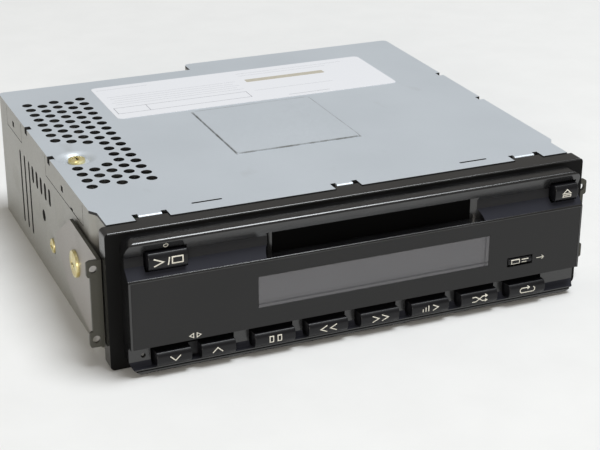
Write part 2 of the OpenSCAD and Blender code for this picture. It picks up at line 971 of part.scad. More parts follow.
// Side profile of the nose in (y, z), from bottom to top
function nose_profile() =
    let (cove_z = plate_z0 - low_cove_step, cove_d = (low_lip_f - low_cove_f) / (1 - cos(low_cove_turn)),
         lip_z = nose_z0 + low_lip_up, top_z = plate_z1 + lip_h, groove_z = nose_z0 + groove_up)
    concat(
        [[-rim_f + eps, nose_z0]],
        arc([-low_lip_f + foot_r, nose_z0 + foot_r], foot_r, foot_r, 270, 180),
        [[-low_lip_f, groove_z], [-low_lip_f + groove_d, groove_z],
         [-low_lip_f + groove_d, groove_z + groove_h], [-low_lip_f, groove_z + groove_h]],
        arc([-low_cove_f - cove_d, cove_z],
            cove_d, (cove_z - lip_z) / sin(low_cove_turn), -low_cove_turn, 0),
        [[-low_cove_f, plate_z0 - low_cove_roof], [-plate_back_f, plate_z0],
         [-plate_back_f, plate_z1], [-plate_f, plate_z1]],
        [[-plate_f, top_z], [-top_cove_f, top_z + top_cove_rise],
         [-top_cove_f, top_z + top_cove_rise + top_cove_wall]],
        arc([-top_lip_f + lip_r, nose_z1 - lip_r], lip_r, lip_r, 180, 90),
        [[-rim_f + eps, nose_z1]]);

// Moulded black front: rim, nose with two coves, disc mouth and key openings
module front_frame() {
    color([0.08, 0.08, 0.09])
    at_datum()
    difference() {
        union() {
            difference() {
                frame_body();
                block([-cave_x, -cave_f, cave_z0], [cave_x, 0, cave_z1]);
            }
            both_sides()
                side_lug();
            tunnel_walls();
            rocker_lug();
            for (p = board_posts)
                rod_y(m2_r + post_wall, -cave_f - eps, -board_f1, p[0], p[1]);
        }
        disc_mouth();
        window_cut();
        key_cuts();
        for (p = board_posts)
            rod_y(m2_r + run_fit, -cave_f + post_cap, 0, p[0], p[1]);
        both_sides()
            rod_x(m3_r + run_fit, 0, half_w, frame_screw[0], frame_screw[1]);
    }
}

// Rim and nose before hollowing, with the tongues for the cover
module frame_body() {
    translate([0, 0, (rim_z0 + rim_z1) / 2])
        along_y(-rim_f, -gap)
            rounded(rim_w, rim_z1 - rim_z0, rim_r);
    intersection() {
        union() {
            along_x(-nose_w, nose_w)
                polygon(nose_profile());
            both_sides()
                block([nose_w / 2 - plate_edge + run_fit, -plate_f, plate_z0],
                      [nose_w, -plate_back_f + eps, plate_z1 + lip_h / 2]);
        }
        translate([0, 0, (nose_z0 + nose_z1) / 2])
            along_y(-plate_f - eps, -rim_f + eps)
                intersection() {
                    rounded(nose_w, nose_h, nose_r);
                    translate([0, nose_low_r / 2])
                        rounded(nose_w, nose_h + nose_low_r, nose_low_r);
                }
    }
    for (n = notches)
        block([n[0] - n[1] / 2 + gap, -gap - eps, rim_z1 - tongue_t],
              [n[0] + n[1] / 2 - gap, notch_d - tab_d - gap, rim_z1]);
}

// Lug inside the right wall of the case, with its root on the rim
module side_lug() {
    z0 = frame_screw[1] - lug_half;
    z1 = frame_screw[1] + lug_half;
    block([lug_x - lug_t, -gap - lug_root, z0], [lug_x, neck_d - lug_end, z1]);
    block([lug_x - lug_t, -gap - lug_root, z0], [rim_w / 2 - rim_side, -gap, z1]);
}

// Walls of the tunnel between the mouth and the deck
module tunnel_walls() {
    half = tunnel_w / 2 + tunnel_wall;
    block([slot_x - half, -cave_f - eps, slot_z0 - tunnel_floor],
          [slot_x + half, -gap, cave_z1 + eps]);
}

// Bearing above the track rocker
module rocker_lug() {
    reach = rocker_pin_r + rocker_lug_wall;
    block([rocker_x - reach, -cave_f - eps, rocker_lug_z0],
          [rocker_x + reach, -rocker_pin_f + reach, rocker_lug_z0 + rocker_lug_h]);
}

// Space of the mouth: straight tunnel, then a lower opening with hollow ends
module disc_mouth() {
    half = tunnel_w / 2;
    side = arc([half, -plate_f], mouth_w / 2 - half, plate_f - cave_f, 0, 90);
    translate([slot_x, 0, 0]) {
        along_z(slot_z0, slot_z1)
            translate([-half, -cave_f - eps])
                square([2 * half, cave_f + 2 * eps]);
        along_z(slot_z0, slot_z1 - mouth_lip)
            for (m = [0, 1])
                mirror([m, 0])
                    polygon(concat([[-eps, -plate_f - eps], [mouth_w / 2, -plate_f - eps]],
                                   side, [[-eps, -cave_f]]));
    }
    rod_x(flap_pin_r + run_fit, slot_x - half - flap_pin_l - gap, slot_x + half + flap_pin_l + gap,
          -flap_axis_f, flap_axis_z);
}

// Opening in the shell behind the display window
module window_cut() {
    block([win_x - win_w / 2 - lcd_over, -plate_f, win_z - win_h / 2 - lcd_over],
          [win_x + win_w / 2 + lcd_over, -cave_f + eps, win_z + win_h / 2 + lcd_over]);
}

// One rectangular key opening through the shell
module key_hole(x, w, z0, z1, side) {
    block([x - w / 2 - side, -plate_f - eps, z0], [x + w / 2 + side, -cave_f + eps, z1]);
}

// All openings for keys, the rocker's bearings and the reset hole
module key_cuts() {
    for (i = [0:row_keys - 1])
        key_hole(row_first_x + i * row_pitch, row_key_w, cave_z0, row_top, key_side);
    key_hole(rocker_x, rocker_w, cave_z0, row_top, rocker_side);
    for (k = [[power_x, power_w], [eject_x, eject_w]])
        key_hole(k[0], k[1], top_key_z - key_side, top_key_z + top_key_h + key_side, key_side);
    key_hole(display_key_x, display_key_w, display_key_z - gap, display_key_z + display_key_h + gap, gap);
    rod_z(rocker_pin_r + run_fit, cave_z0 - rocker_pin_l, rocker_lug_z0 + rocker_lug_h + eps,
          rocker_x, -rocker_pin_f);
    rod_y(reset_r + reset_fit, -plate_f, -cave_f + eps, reset_x, reset_z);
}

// Dark face plate with openings for window and display key
module display_plate() {
    color([0.19, 0.19, 0.19])
    at_datum()
    difference() {
        block([-nose_w / 2 + plate_edge, -plate_f, plate_z0 + run_fit],
              [nose_w / 2 - plate_edge, -plate_back_f, plate_z1 - run_fit]);
        block([win_x - win_w / 2, -plate_f - eps, win_z - win_h / 2],
              [win_x + win_w / 2, -plate_back_f + eps, win_z + win_h / 2]);
        block([display_key_x - display_key_w / 2 - gap, -plate_f - eps, display_key_z - gap],
              [display_key_x + display_key_w / 2 + gap, -plate_back_f + eps,
               display_key_z + display_key_h + gap]);
    }
}

// Clear window set into the face plate
module display_window() {
    color([0.6, 0.6, 0.62, 0.5])
    at_datum()
    block([win_x - win_w / 2 + run_fit, -plate_f + window_in, win_z - win_h / 2 + run_fit],
          [win_x + win_w / 2 - run_fit, -plate_back_f, win_z + win_h / 2 - run_fit]);
}

// Display glass behind the window
module lcd_glass() {
    half_x = win_w / 2 + lcd_over - gap;
    half_z = win_h / 2 + lcd_over - gap;
    color([0.4, 0.4, 0.4])
    at_datum()
    block([win_x - half_x, -plate_back_f + gap, win_z - half_z],
          [win_x + half_x, -lcd_holder_f, win_z + half_z]);
}

// Holder and light guide of the display, standing on the key board
module lcd_holder() {
    half_x = win_w / 2 + lcd_over + holder_rim[0];
    half_z = win_h / 2 + lcd_over + holder_rim[1];
    color("whitesmoke")
    at_datum()
    block([win_x - half_x, -lcd_holder_f, win_z - half_z], [win_x + half_x, -board_f1, win_z + half_z]);
}

// Circuit board behind the nose, cut away round the disc tunnel
module key_board() {
    edge = cave_x - board_edge;
    tunnel_half = tunnel_w / 2 + tunnel_wall + gap;
    color("darkgreen")
    at_datum()
    difference() {
        block([-edge, -board_f1, cave_z0 + gap], [edge, -board_f0, cave_z1 - gap]);
        block([slot_x - tunnel_half, -board_f1 - eps, slot_z0 - tunnel_floor - gap],
              [slot_x + tunnel_half, 0, case_h]);
        for (p = board_posts)
            rod_y(m2_r + run_fit, -board_f1 - eps, 0, p[0], p[1]);
    }
}

// Four small screws that hold the key board to the nose
module key_board_screws() {
    color("silver")
    at_datum()
    for (p = board_posts)
        translate([p[0], -board_f0, p[1]])
            rotate([-90, 0, 0])
                screw(m2_head_r, m2_head_h, m2_r, pcb_t + m2_grip);
}

// Push switches on the key board, one behind each key
module key_switches() {
    row = row_key_z + row_key_h / 2;
    places = concat(
        [for (i = [0:row_keys - 1]) [row_first_x + i * row_pitch, row]],
        [for (s = [-1, 1]) [rocker_x + s * rocker_press_x, row]],
        [[power_x, top_key_z + top_key_h / 2], [eject_x, top_key_z + top_key_h / 2],
         [display_key_x, display_key_z + display_key_h / 2], [reset_x, reset_z]]);
    color("dimgray")
    at_datum()
    for (p = places) {
        block([p[0] - switch_w / 2, -board_f1 - switch_d, p[1] - switch_h / 2],
              [p[0] + switch_w / 2, -board_f1, p[1] + switch_h / 2]);
        rod_y(switch_tip_r, -switch_f, -board_f1 - switch_d + eps, p[0], p[1]);
    }
}

// Crowned end section of a key in (y, z)
function key_face(z0, h, f, steps = 10) =
    concat([[-flange_f0, z0]],
        [for (i = [0:steps])
            let (t = 2 * i / steps - 1)
            [-f + key_crown * pow(abs(t), 3), z0 + h * (1 + t) / 2]],
        [[-flange_f0, z0 + h]]);

// One push key: crowned bar, retaining flange and stem
module push_key(x, w, z0, h, f, flange_z0, flange_z1) {
    half = w / 2 + flange_out;
    mid = z0 + h / 2;
    stem_half = min(h, stem_h) / 2;
    color([0.1, 0.1, 0.12])
    at_datum() {
        along_x(x - w / 2, x + w / 2)
            polygon(key_face(z0, h, f));
        block([x - half, -flange_f1, flange_z0],
              [min(x + half, cave_x - gap), -flange_f0, flange_z1]);
        block([x - stem_w / 2, -flange_f0 - eps, mid - stem_half],
              [x + stem_w / 2, -stem_f, mid + stem_half]);
    }
}

// A key of the lower row, counted from the left
module row_key(i) {
    push_key(row_first_x + i * row_pitch, row_key_w, row_key_z, row_key_h, row_key_f,
             row_key_z, row_top + flange_up);
}

// A key of the upper cove
module top_key(x, w) {
    push_key(x, w, top_key_z, top_key_h, plate_f - top_key_in,
             top_key_z - flange_out, top_key_z + top_key_h + flange_out);
}

module power_key() {
    top_key(power_x, power_w);
}

module eject_key() {
    top_key(eject_x, eject_w);
}

module display_key() {
    push_key(display_key_x, display_key_w, display_key_z, display_key_h, plate_f + display_key_out,
             display_key_z - gap - flange_up, display_key_z + display_key_h + gap + flange_up);
}

module pause_key() {
    row_key(0);
}

module rewind_key() {
    row_key(1);
}

module forward_key() {
    row_key(2);
}

module scan_key() {
    row_key(3);
}

module random_key() {
    row_key(4);
}

module repeat_key() {
    row_key(5);
}

// Rocker with two crowned ends that tips about an upright pin
module track_rocker() {
    mid = row_key_z + row_key_h / 2;
    color([0.1, 0.1, 0.12])
    at_datum() {
        for (s = [[-rocker_w / 2, -rocker_web], [rocker_web, rocker_w / 2]])
            along_x(rocker_x + s[0], rocker_x + s[1])
                polygon(key_face(row_key_z, row_key_h, row_key_f));
        block([rocker_x - rocker_web - eps, -low_cove_f, row_key_z],
              [rocker_x + rocker_web + eps, -flange_f0, row_key_z + row_key_h]);
        rod_z(2 * rocker_pin_r, row_key_z, row_key_z + row_key_h, rocker_x, -rocker_pin_f);
        rod_z(rocker_pin_r, cave_z0 - rocker_pin_l + gap, rocker_lug_z0 + rocker_lug_h,
              rocker_x, -rocker_pin_f);
        for (s = [-1, 1])
            block([rocker_x + s * rocker_press_x - rocker_pad_w / 2, -flange_f0 - eps, mid - stem_h / 2],
                  [rocker_x + s * rocker_press_x + rocker_pad_w / 2, -stem_f, mid + stem_h / 2]);
    }
}

// Small plunger behind the reset pin hole
module reset_plunger() {
    color("dimgray")
    at_datum() {
        rod_y(reset_r, -low_cove_f + reset_in, -stem_f, reset_x, reset_z);
        rod_y(reset_r + reset_collar, -flange_f1, -flange_f0, reset_x, reset_z);
    }
}

// Dust flap that hangs across the tunnel on two end pins
module slot_flap() {
    half = tunnel_w / 2 - gap;
    color([0.05, 0.05, 0.05])
    at_datum() {
        block([slot_x - half, -flap_axis_f - flap_t / 2, slot_z0 + gap],
              [slot_x + half, -flap_axis_f + flap_t / 2, flap_axis_z + flap_top]);
        rod_x(flap_pin_r, slot_x - tunnel_w / 2 - flap_pin_l, slot_x + tunnel_w / 2 + flap_pin_l,
              -flap_axis_f, flap_axis_z);
    }
}

// Right mounting bracket: plate, outward flange and two slotted ears
module bracket() {
    ear_x1 = bracket_x + bracket_t + ear_reach;
    difference() {
        union() {
            along_x(bracket_x, bracket_x + bracket_t)
                polygon(bracket_plan);
            rod_x(bracket_boss_r, half_w, bracket_x + bracket_t / 2, bracket_screw_y, bracket_screw_z);
            block([bracket_x, bracket_front, bracket_z[0] + bracket_lip_up],
                  [bracket_x + bracket_lip, -bracket_f, bracket_z[1]]);
            for (s = [-1, 1])
                translate([(bracket_x + ear_x1) / 2, 0, ear_z + s * ear_pitch / 2])
                    along_y(bracket_front, -bracket_f)
                        rounded(ear_x1 - bracket_x, ear_h, ear_r);
        }
        rod_x(bracket_screw_r + run_fit, 0, case_w, bracket_screw_y, bracket_screw_z);
        for (s = [-1, 1])
            rod_y(ear_hole_dia / 2, bracket_front - eps, -bracket_f + eps,
                  ear_hole_x, ear_z + s * ear_pitch / 2);
    }
}

module left_bracket() {
    color([0.35, 0.36, 0.33])
    at_datum()
    mirror([1, 0, 0])
        bracket();
}

module right_bracket() {
    color([0.35, 0.36, 0.33])
    at_datum()
    bracket();
}

// Large flat screws that hold the brackets
module bracket_screws() {
    color("goldenrod")
    at_datum()
    for (s = [-1, 1])
        side_screw_at(s, bracket_x + bracket_t, bracket_screw_y, bracket_screw_z,
                      bracket_head_r, bracket_head_h, bracket_screw_r,
                      bracket_x + bracket_t - half_w + sheet_t + nut_h);
}

module cover_screw() {
    color("goldenrod")
    at_datum()
    translate([cover_screw_at[0], cover_screw_at[1], case_h - dish_depth])
        screw(cover_head_r, cover_head_h, m3_r, m3_grip);
}

module side_screws() {
    color("goldenrod")
    at_datum()
    for (s = [-1, 1])
        side_screw_at(s, half_w - dimple_d, side_screw[0], side_screw[1], m3_head_r, m3_head_h, m3_r, nut_h);
}

// Screws that hold the front frame's lugs inside the case
module frame_screws() {
    color("goldenrod")
    at_datum()
    for (s = [-1, 1])
        side_screw_at(s, neck_x, frame_screw[0], frame_screw[1],
                      m3_head_r, m3_head_h, m3_r, sheet_t + m3_grip);
}

// Moves children to the middle of the deck
module at_deck() {
    at_datum()
        translate([slot_x, 0, 0])
            children();
}

// Steel deck plate with guide walls, damper ears and rod hangers
module deck_frame() {
    lens_half = lens_block / 2 + lens_clear;
    color("silver")
    at_deck()
    difference() {
        union() {
            block([-deck_half, deck_y0, deck_z0], [deck_half, deck_y1, deck_z1]);
            for (sx = [-1, 1], y = damper_y) {
                rod_z(damper_flange_r + damper_ear, deck_z0, deck_z1, sx * damper_x, y);
                block([min(sx * damper_x, 0), y - damper_arm, deck_z0],
                      [max(sx * damper_x, 0), y + damper_arm, deck_z1]);
            }
            block([load_gear_x - load_gear_r - deck_edge, load_gear_y - load_plate, deck_z0],
                  [-deck_half + eps, load_motor_y + load_plate, deck_z1]);
            block([0, spindle_y - rail_y - deck_edge, deck_z0],
                  [bearing_x1 + bearing_t, spindle_y + screw_y + deck_edge, deck_z1]);
            both_sides()
                deck_wall();
            for (x = [bearing_x0, bearing_x1])
                rod_bearing(x);
        }
        rod_z(motor_boss_hole_r, deck_z0 - eps, deck_z1 + eps, 0, spindle_y);
        block([lens_start_r - lens_half, spindle_y - lens_half, deck_z0 - eps],
              [lens_start_r + sled_travel + lens_half, spindle_y + lens_half, deck_z1 + eps]);
        for (sx = [-1, 1], y = damper_y)
            rod_z(damper_neck_r + run_fit, deck_z0 - eps, deck_z1 + eps, sx * damper_x, y);
        rod_z(motor_hole_r, deck_z0 - eps, deck_z1 + eps, load_gear_x, load_motor_y);
        for (y = [-rail_y, rail_y])
            rod_x(rail_r + run_fit, 0, bearing_x1 + bearing_t - rail_cap, spindle_y + y, rail_z);
        rod_x(screw_r + run_fit, 0, bearing_x1 + bearing_t + eps, spindle_y + screw_y, rail_z);
    }
}

// Right guide wall with slots for the holder pins and studs for the cam slide
module deck_wall() {
    slot_half = guide_pin_r + guide_slack;
    difference() {
        block([deck_wall_x, deck_y0, deck_z0], [deck_wall_x + deck_t, deck_wall_y1, cam_z1]);
        for (y = pin_y)
            block([0, y - slot_half, holder_pin_z - drop - slot_half], [case_w, y + slot_half, case_h]);
    }
    for (y = stud_y)
        rod_x(guide_pin_r, deck_wall_x, cam_x + deck_t + pin_out, y, stud_z);
}

// Hanger below the deck plate that carries the rods and the feed screw
module rod_bearing(x) {
    for (s = [[-rail_y, -rail_y], [rail_y, screw_y]])
        block([x, spindle_y + s[0] - bearing_wall, rail_z - bearing_foot],
              [x + bearing_t, spindle_y + s[1] + bearing_wall, deck_z0 + deck_t / 2]);
}

// Posts on the case floor that carry the deck
module damper_posts() {
    color("gray")
    at_deck()
    for (sx = [-1, 1], y = damper_y)
        difference() {
            union() {
                rod_z(post_base_r, sheet_t, deck_z0 - damper_flange_h, sx * damper_x, y);
                rod_z(post_shank_r, sheet_t, deck_z1 + damper_flange_h + gap, sx * damper_x, y);
            }
            rod_z(m2_r + run_fit, deck_z1 - m2_grip / 2, case_h, sx * damper_x, y);
        }
}

// Rubber grommets that let the deck float on its posts
module dampers() {
    color([0.15, 0.15, 0.15])
    at_deck()
    for (sx = [-1, 1], y = damper_y)
        difference() {
            union() {
                rod_z(damper_flange_r, deck_z0 - damper_flange_h, deck_z0, sx * damper_x, y);
                rod_z(damper_neck_r, deck_z0 - eps, deck_z1 + eps, sx * damper_x, y);
                rod_z(damper_flange_r, deck_z1, deck_z1 + damper_flange_h, sx * damper_x, y);
            }
            rod_z(post_shank_r + run_fit, 0, case_h, sx * damper_x, y);
        }
}

module damper_screws() {
    color("silver")
    at_deck()
    for (sx = [-1, 1], y = damper_y)
        translate([sx * damper_x, y, deck_z1 + damper_flange_h + gap])
            screw(washer_head_r, m2_head_h, m2_r, m2_grip);
}

// Two arms with inclined slots, joined behind the holder, with a rack
module cam_slide() {
    color("gainsboro")
    at_deck() {
        both_sides()
            cam_arm();
        block([-cam_x - deck_t, cam_y1, cam_z0], [cam_x + deck_t, cam_y1 + cam_bar, cam_z0 + deck_t]);
        along_z(cam_z0, rack_z1)
            rack();
    }
}

// Right arm of the cam slide
module cam_arm() {
    slot_r = guide_pin_r + guide_slack;
    along_x(cam_x, cam_x + deck_t)
        difference() {
            translate([cam_y0, cam_z0])
                square([cam_y1 + cam_bar - cam_y0, cam_z1 - cam_z0]);
            for (y = pin_y)
                polygon(slot_points([y - cam_travel, holder_pin_z - drop], [y, holder_pin_z], slot_r));
            for (y = stud_y)
                round_slot([y - cam_travel, stud_z], [y, stud_z], slot_r);
        }
}

// Rack in (x, y) with its teeth towards the pinion
module rack() {
    pitch = PI * rack_module;
    first = -ceil((cam_travel + rack_spare) / pitch);
    root_x = rack_line_x + dedendum * rack_module;
    half = pitch / 4 - gear_play / 2;
    tip = half - rack_module * tan(pressure_angle);
    foot = half + dedendum * rack_module * tan(pressure_angle);
    translate([root_x, load_gear_y + first * pitch])
        square([-cam_x - deck_t / 2 - root_x, (rack_teeth_ahead - first) * pitch]);
    for (k = [first:rack_teeth_ahead - 1])
        translate([0, load_gear_y + (k + 0.5) * pitch])
            polygon([[root_x + eps, -foot], [root_x, -foot], [rack_line_x - rack_module, -tip],
                     [rack_line_x - rack_module, tip], [root_x, foot], [root_x + eps, foot]]);
}

// Folded steel cartridge holder with its four guide pins
module cartridge_holder() {
    in_half = holder_in_w / 2;
    z0 = holder_in_z - holder_t;
    z1 = holder_in_z + holder_in_h + holder_t;
    y1 = holder_y + holder_d;
    color("lightgray")
    at_deck()
    difference() {
        union() {
            both_sides() {
                block([in_half, holder_y, z0], [holder_w / 2, y1, z1]);
                block([in_half - holder_ledge, holder_y, z0], [holder_w / 2, y1, holder_in_z]);
                for (y = pin_y)
                    rod_x(guide_pin_r, in_half + holder_t / 2, cam_x + deck_t + pin_out, y, holder_pin_z);
            }
            block([-in_half, holder_y, z1 - holder_t], [in_half, y1, z1]);
            block([-in_half, y1 - holder_t, holder_in_z], [in_half, y1, z1]);
        }
        along_z(z1 - holder_t - eps, z1 + eps) {
            round_slot([ejector_x, ejector_y - ejector_l / 2],
                       [ejector_x, ejector_y + ejector_travel + ejector_l / 2], ejector_slot_r);
            translate([0, spindle_y])
                rounded(holder_open[0], holder_open[1], holder_open_r);
        }
    }
}

// Catch on the holder's roof that pushes the cartridge out
module eject_slider() {
    roof = holder_in_z + holder_in_h;
    half = ejector_slot_r - ejector_play;
    top = roof + holder_t + ejector_play;
    color("ivory")
    at_deck()
    translate([ejector_x, ejector_y, 0]) {
        block([-half - ejector_lip, -ejector_l / 2, roof - ejector_play - ejector_t],
              [half + ejector_lip, ejector_l / 2, roof - ejector_play]);
        block([-half, -ejector_l / 2, roof - eps], [half, ejector_l / 2, top + eps]);
        block([-half - ejector_lip, -ejector_l / 2, top],
              [half + ejector_arm, ejector_l / 2, top + ejector_t]);
    }
}

// Small motor hanging under the deck plate
module loading_motor() {
    color("silver")
    at_deck()
    difference() {
        rod_z(load_motor_r, deck_z0 - load_motor_h, deck_z0, load_gear_x, load_motor_y);
        rod_z(motor_shaft_r + run_fit, deck_z0 - motor_shaft_l - gap, deck_z0 + eps,
              load_gear_x, load_motor_y);
    }
}

// Pinion on its motor shaft, with a gap towards the loading gear
module motor_pinion() {
    color("ivory")
    at_deck()
    translate([load_gear_x, load_motor_y, 0]) {
        along_z(load_gear_z - gap, load_gear_z + load_gear_t + gap)
            rotate(270 + 180 / motor_pinion_teeth)
                polygon(gear_points(motor_pinion_teeth, load_module, gear_play));
        rod_z(motor_shaft_r, deck_z0 - motor_shaft_l, load_gear_z, 0, 0);
    }
}

// Loading gear with the rack pinion on top
module loading_gear() {
    pinion_z1 = rack_z1 + gap;
    color("ivory")
    at_deck()
    translate([load_gear_x, load_gear_y, 0])
        difference() {
            union() {
                along_z(load_gear_z, load_gear_z + load_gear_t)
                    rotate(90)
                        polygon(gear_points(load_gear_teeth, load_module, gear_play));
                rod_z(rack_pinion_r - dedendum * rack_module, deck_z1 + gap, pinion_z1, 0, 0);
                along_z(cam_z0 - gap, pinion_z1)
                    polygon(gear_points(rack_pinion_teeth, rack_module, gear_play));
            }
            rod_z(gear_pin_r + run_fit, 0, case_h, 0, 0);
        }
}

// Pin that carries the loading gear, with its retaining head
module gear_pin() {
    head_z = rack_z1 + 2 * gap;
    color("silver")
    at_deck() {
        rod_z(gear_pin_r, deck_z1, head_z + gear_pin_head, load_gear_x, load_gear_y);
        rod_z(2 * gear_pin_r, head_z, head_z + gear_pin_head, load_gear_x, load_gear_y);
    }
}

// Flat motor under the deck plate, with its bearing boss
module spindle_motor() {
    color("silver")
    at_deck()
    difference() {
        union() {
            rod_z(motor_r, deck_z0 - motor_h, deck_z0, 0, spindle_y);
            rod_z(motor_boss_r, deck_z0 - eps, turntable_z - motor_boss_gap, 0, spindle_y);
        }
        rod_z(shaft_r + run_fit, deck_z0 - shaft_l - gap, case_h, 0, spindle_y);
    }
}

// Turntable with its centring hub and shaft
module turntable() {
    color("gray")
    at_deck() {
        rod_z(turntable_r, turntable_z, turntable_top - hub_h, 0, spindle_y);
        rod_z(hub_r, turntable_z, turntable_top, 0, spindle_y);
        rod_z(shaft_r, deck_z0 - shaft_l, turntable_z + eps, 0, spindle_y);
    }
}

// Pickup body on the two rods, with its nut on the feed screw
module pickup_sled() {
    color("dimgray")
    at_deck()
    difference() {
        union() {
            block([sled_x0, spindle_y - rail_y - sled_side, sled_z0],
                  [sled_x0 + sled_l, spindle_y + rail_y + sled_side, sled_z1]);
            block([sled_x0 + nut_x[0], spindle_y + rail_y, sled_z0],
                  [sled_x0 + nut_x[1], spindle_y + screw_y + sled_side, sled_z1]);
            block([sled_x0, spindle_y - lens_block / 2, sled_z0],
                  [lens_start_r + lens_block / 2, spindle_y + lens_block / 2, lens_z]);
        }
        for (y = [-rail_y, rail_y])
            rod_x(rail_r + run_fit, 0, case_w, spindle_y + y, rail_z);
        rod_x(screw_r + run_fit, 0, case_w, spindle_y + screw_y, rail_z);
    }
}

module objective_lens() {
    color("lightblue")
    at_deck()
    rod_z(lens_r, lens_z, lens_z + lens_h, lens_start_r, spindle_y);
}

// Two rods that guide the pickup sled
module guide_rods() {
    color("silver")
    at_deck()
    for (y = [-rail_y, rail_y])
        rod_x(rail_r, bearing_x0 + gap, bearing_x1 + bearing_t - rail_cap - gap, spindle_y + y, rail_z);
}

module feed_screw() {
    color("silver")
    at_deck()
    rod_x(screw_r, bearing_x0, bearing_x1 + bearing_t + screw_end, spindle_y + screw_y, rail_z);
}

module feed_motor() {
    x0 = bearing_x1 + bearing_t;
    color("silver")
    at_deck()
    difference() {
        rod_x(feed_motor_r, x0, x0 + feed_motor_l, spindle_y + screw_y, rail_z);
        rod_x(screw_r + run_fit, x0 - eps, x0 + screw_end + gap, spindle_y + screw_y, rail_z);
    }
}

// Main circuit board on the floor bosses
module main_board() {
    color("darkgreen")
    at_datum()
    difference() {
        block([-board_x, board_y0, board_z0], [board_x, board_y1, board_z1]);
        for (p = bosses)
            rod_z(m3_r + run_fit, 0, case_h, p[0], p[1]);
        for (sx = [-1, 1], y = damper_y)
            rod_z(post_base_r + post_clear, 0, case_h, slot_x + sx * damper_x, y);
    }
}

module board_screws() {
    color("silver")
    at_datum()
    for (p = bosses)
        translate([p[0], p[1], board_z1])
            screw(m3_head_r, m3_head_h, m3_r, pcb_t + boss_h - boss_end);
}

// Flat integrated circuits on the main board
module board_chips() {
    color([0.1, 0.1, 0.1])
    at_datum()
    for (c = chips)
        translate([c[0] - c[2] / 2, c[1] - c[2] / 2, board_z1])
            cube([c[2], c[2], c[3]]);
}

// Upright capacitors behind the deck
module capacitors() {
    color([0.12, 0.14, 0.3])
    at_datum()
    for (c = caps)
        rod_z(c[1], board_z1, board_z1 + c[2], c[0], caps_y);
}

// Finned aluminium bar on the inside of the rear wall
module heat_sink() {
    x1 = stud_x - stud_dia / 2 - stud_head_out - sink_gap;
    y1 = main_d - sheet_t;
    fin_pitch = (x1 - sink_x0) / sink_fins;
    color("silver")
    at_datum()
    difference() {
        block([sink_x0, y1 - sink_d, sink_z0], [x1, y1, sink_z1]);
        for (k = [0:sink_fins - 1])
            block([sink_x0 + (k + 0.3) * fin_pitch, y1 - sink_d - eps, reg_z1],
                  [sink_x0 + (k + 0.7) * fin_pitch, y1 - sink_back, sink_z1 + eps]);
    }
}

// Power regulators against the foot of the heat sink
module regulators() {
    y1 = main_d - sheet_t - sink_d;
    color([0.1, 0.1, 0.1])
    at_datum()
    for (k = [0, 1])
        translate([sink_x0 + reg_x + k * reg_pitch, 0, 0])
            block([0, y1 - reg_t, board_z1], [reg_w, y1, reg_z1]);
}

// Flat cable from the key board down to the main board
module front_ribbon() {
    y0 = -board_f0 + gap;
    r = board_y0 + ribbon_foot - y0;
    z = board_z1 + ribbon_gap + r;
    color("gainsboro")
    at_datum()
    along_x(front_ribbon_x[0], front_ribbon_x[1])
        polygon(concat(arc([y0 + r, z], r, r, 180, 270, 12), [[y0 + r + ribbon_foot, z - r]],
                       [[y0 + r + ribbon_foot, z - r + ribbon_t]],
                       arc([y0 + r, z], r - ribbon_t, r - ribbon_t, 270, 180, 12)));
}

// Flat cable that loops from the deck plate to the main board
module deck_ribbon() {
    r = (deck_z0 - board_z1) / 2 - ribbon_gap;
    c = [deck_y1 - deck_ribbon_in, (deck_z0 + board_z1) / 2];
    end_y = c[0] - deck_ribbon_end;
    color("gainsboro")
    at_deck()
    along_x(deck_ribbon_x[0], deck_ribbon_x[1])
        polygon(concat([[end_y, c[1] - r]], arc(c, r, r, -90, 90, 16), [[end_y, c[1] + r]],
                       [[end_y, c[1] + r - ribbon_t]],
                       arc(c, r - ribbon_t, r - ribbon_t, 90, -90, 16), [[end_y, c[1] - r + ribbon_t]]));
}

// Socket in the rear wall, open to the rear, with two rows of pins
module harness_socket() {
    half = harness_w / 2;
    y0 = case_d - harness_d;
    top = harness_z + harness_h;
    pin_pitch = (harness_w - 2 * harness_wall) / harness_pins;
    color([0.12, 0.12, 0.12])
    at_datum()
    translate([harness_x, 0, 0]) {
        difference() {
            union() {
                block([-half, y0, harness_z], [half, case_d + harness_out, top]);
                block([-half - harness_out, case_d, harness_z - harness_out],
                      [half + harness_out, case_d + harness_lip, top + harness_out]);
            }
            block([-half + harness_wall, y0 + harness_wall, harness_z + harness_wall],
                  [half - harness_wall, case_d + harness_out + eps, top - harness_wall]);
        }
        for (k = [0:harness_pins - 1], s = [-1, 1])
            rod_y(harness_pin_r, y0 + harness_wall / 2, y0 + harness_wall + harness_pin_l,
                  (k + 0.5 - harness_pins / 2) * pin_pitch, harness_z + harness_h / 2 + s * harness_h / 5);
    }
}

// Two audio jacks, each on its own block behind the rear wall
module audio_jacks() {
    color("gold")
    at_datum()
    for (x = jack_x)
        difference() {
            union() {
                block([x - jack_body[0], case_d - sheet_t - jack_body[1], jack_z - jack_body[2]],
                      [x + jack_body[0], case_d - sheet_t, jack_z + jack_body[2]]);
                rod_y(jack_r, case_d - sheet_t - eps, case_d + jack_l, x, jack_z);
            }
            rod_y(jack_bore_r, case_d, case_d + jack_l + eps, x, jack_z);
        }
}

// Stud for the rear support strap, clamped to the rear wall by its nut
module rear_stud() {
    color("silver")
    at_datum() {
        rod_y(stud_dia / 2, main_d - sheet_t - eps, main_d + stud_l, stud_x, rear_stud_z);
        rod_y(stud_dia / 2 + stud_head_out, main_d - sheet_t - stud_head, main_d - sheet_t,
              stud_x, rear_stud_z);
        translate([stud_x, main_d + stud_nut_l, rear_stud_z])
            rotate([90, 0, 0])
                cylinder(r = stud_dia / 2 + stud_nut_out, h = stud_nut_l, $fn = 6);
    }
}

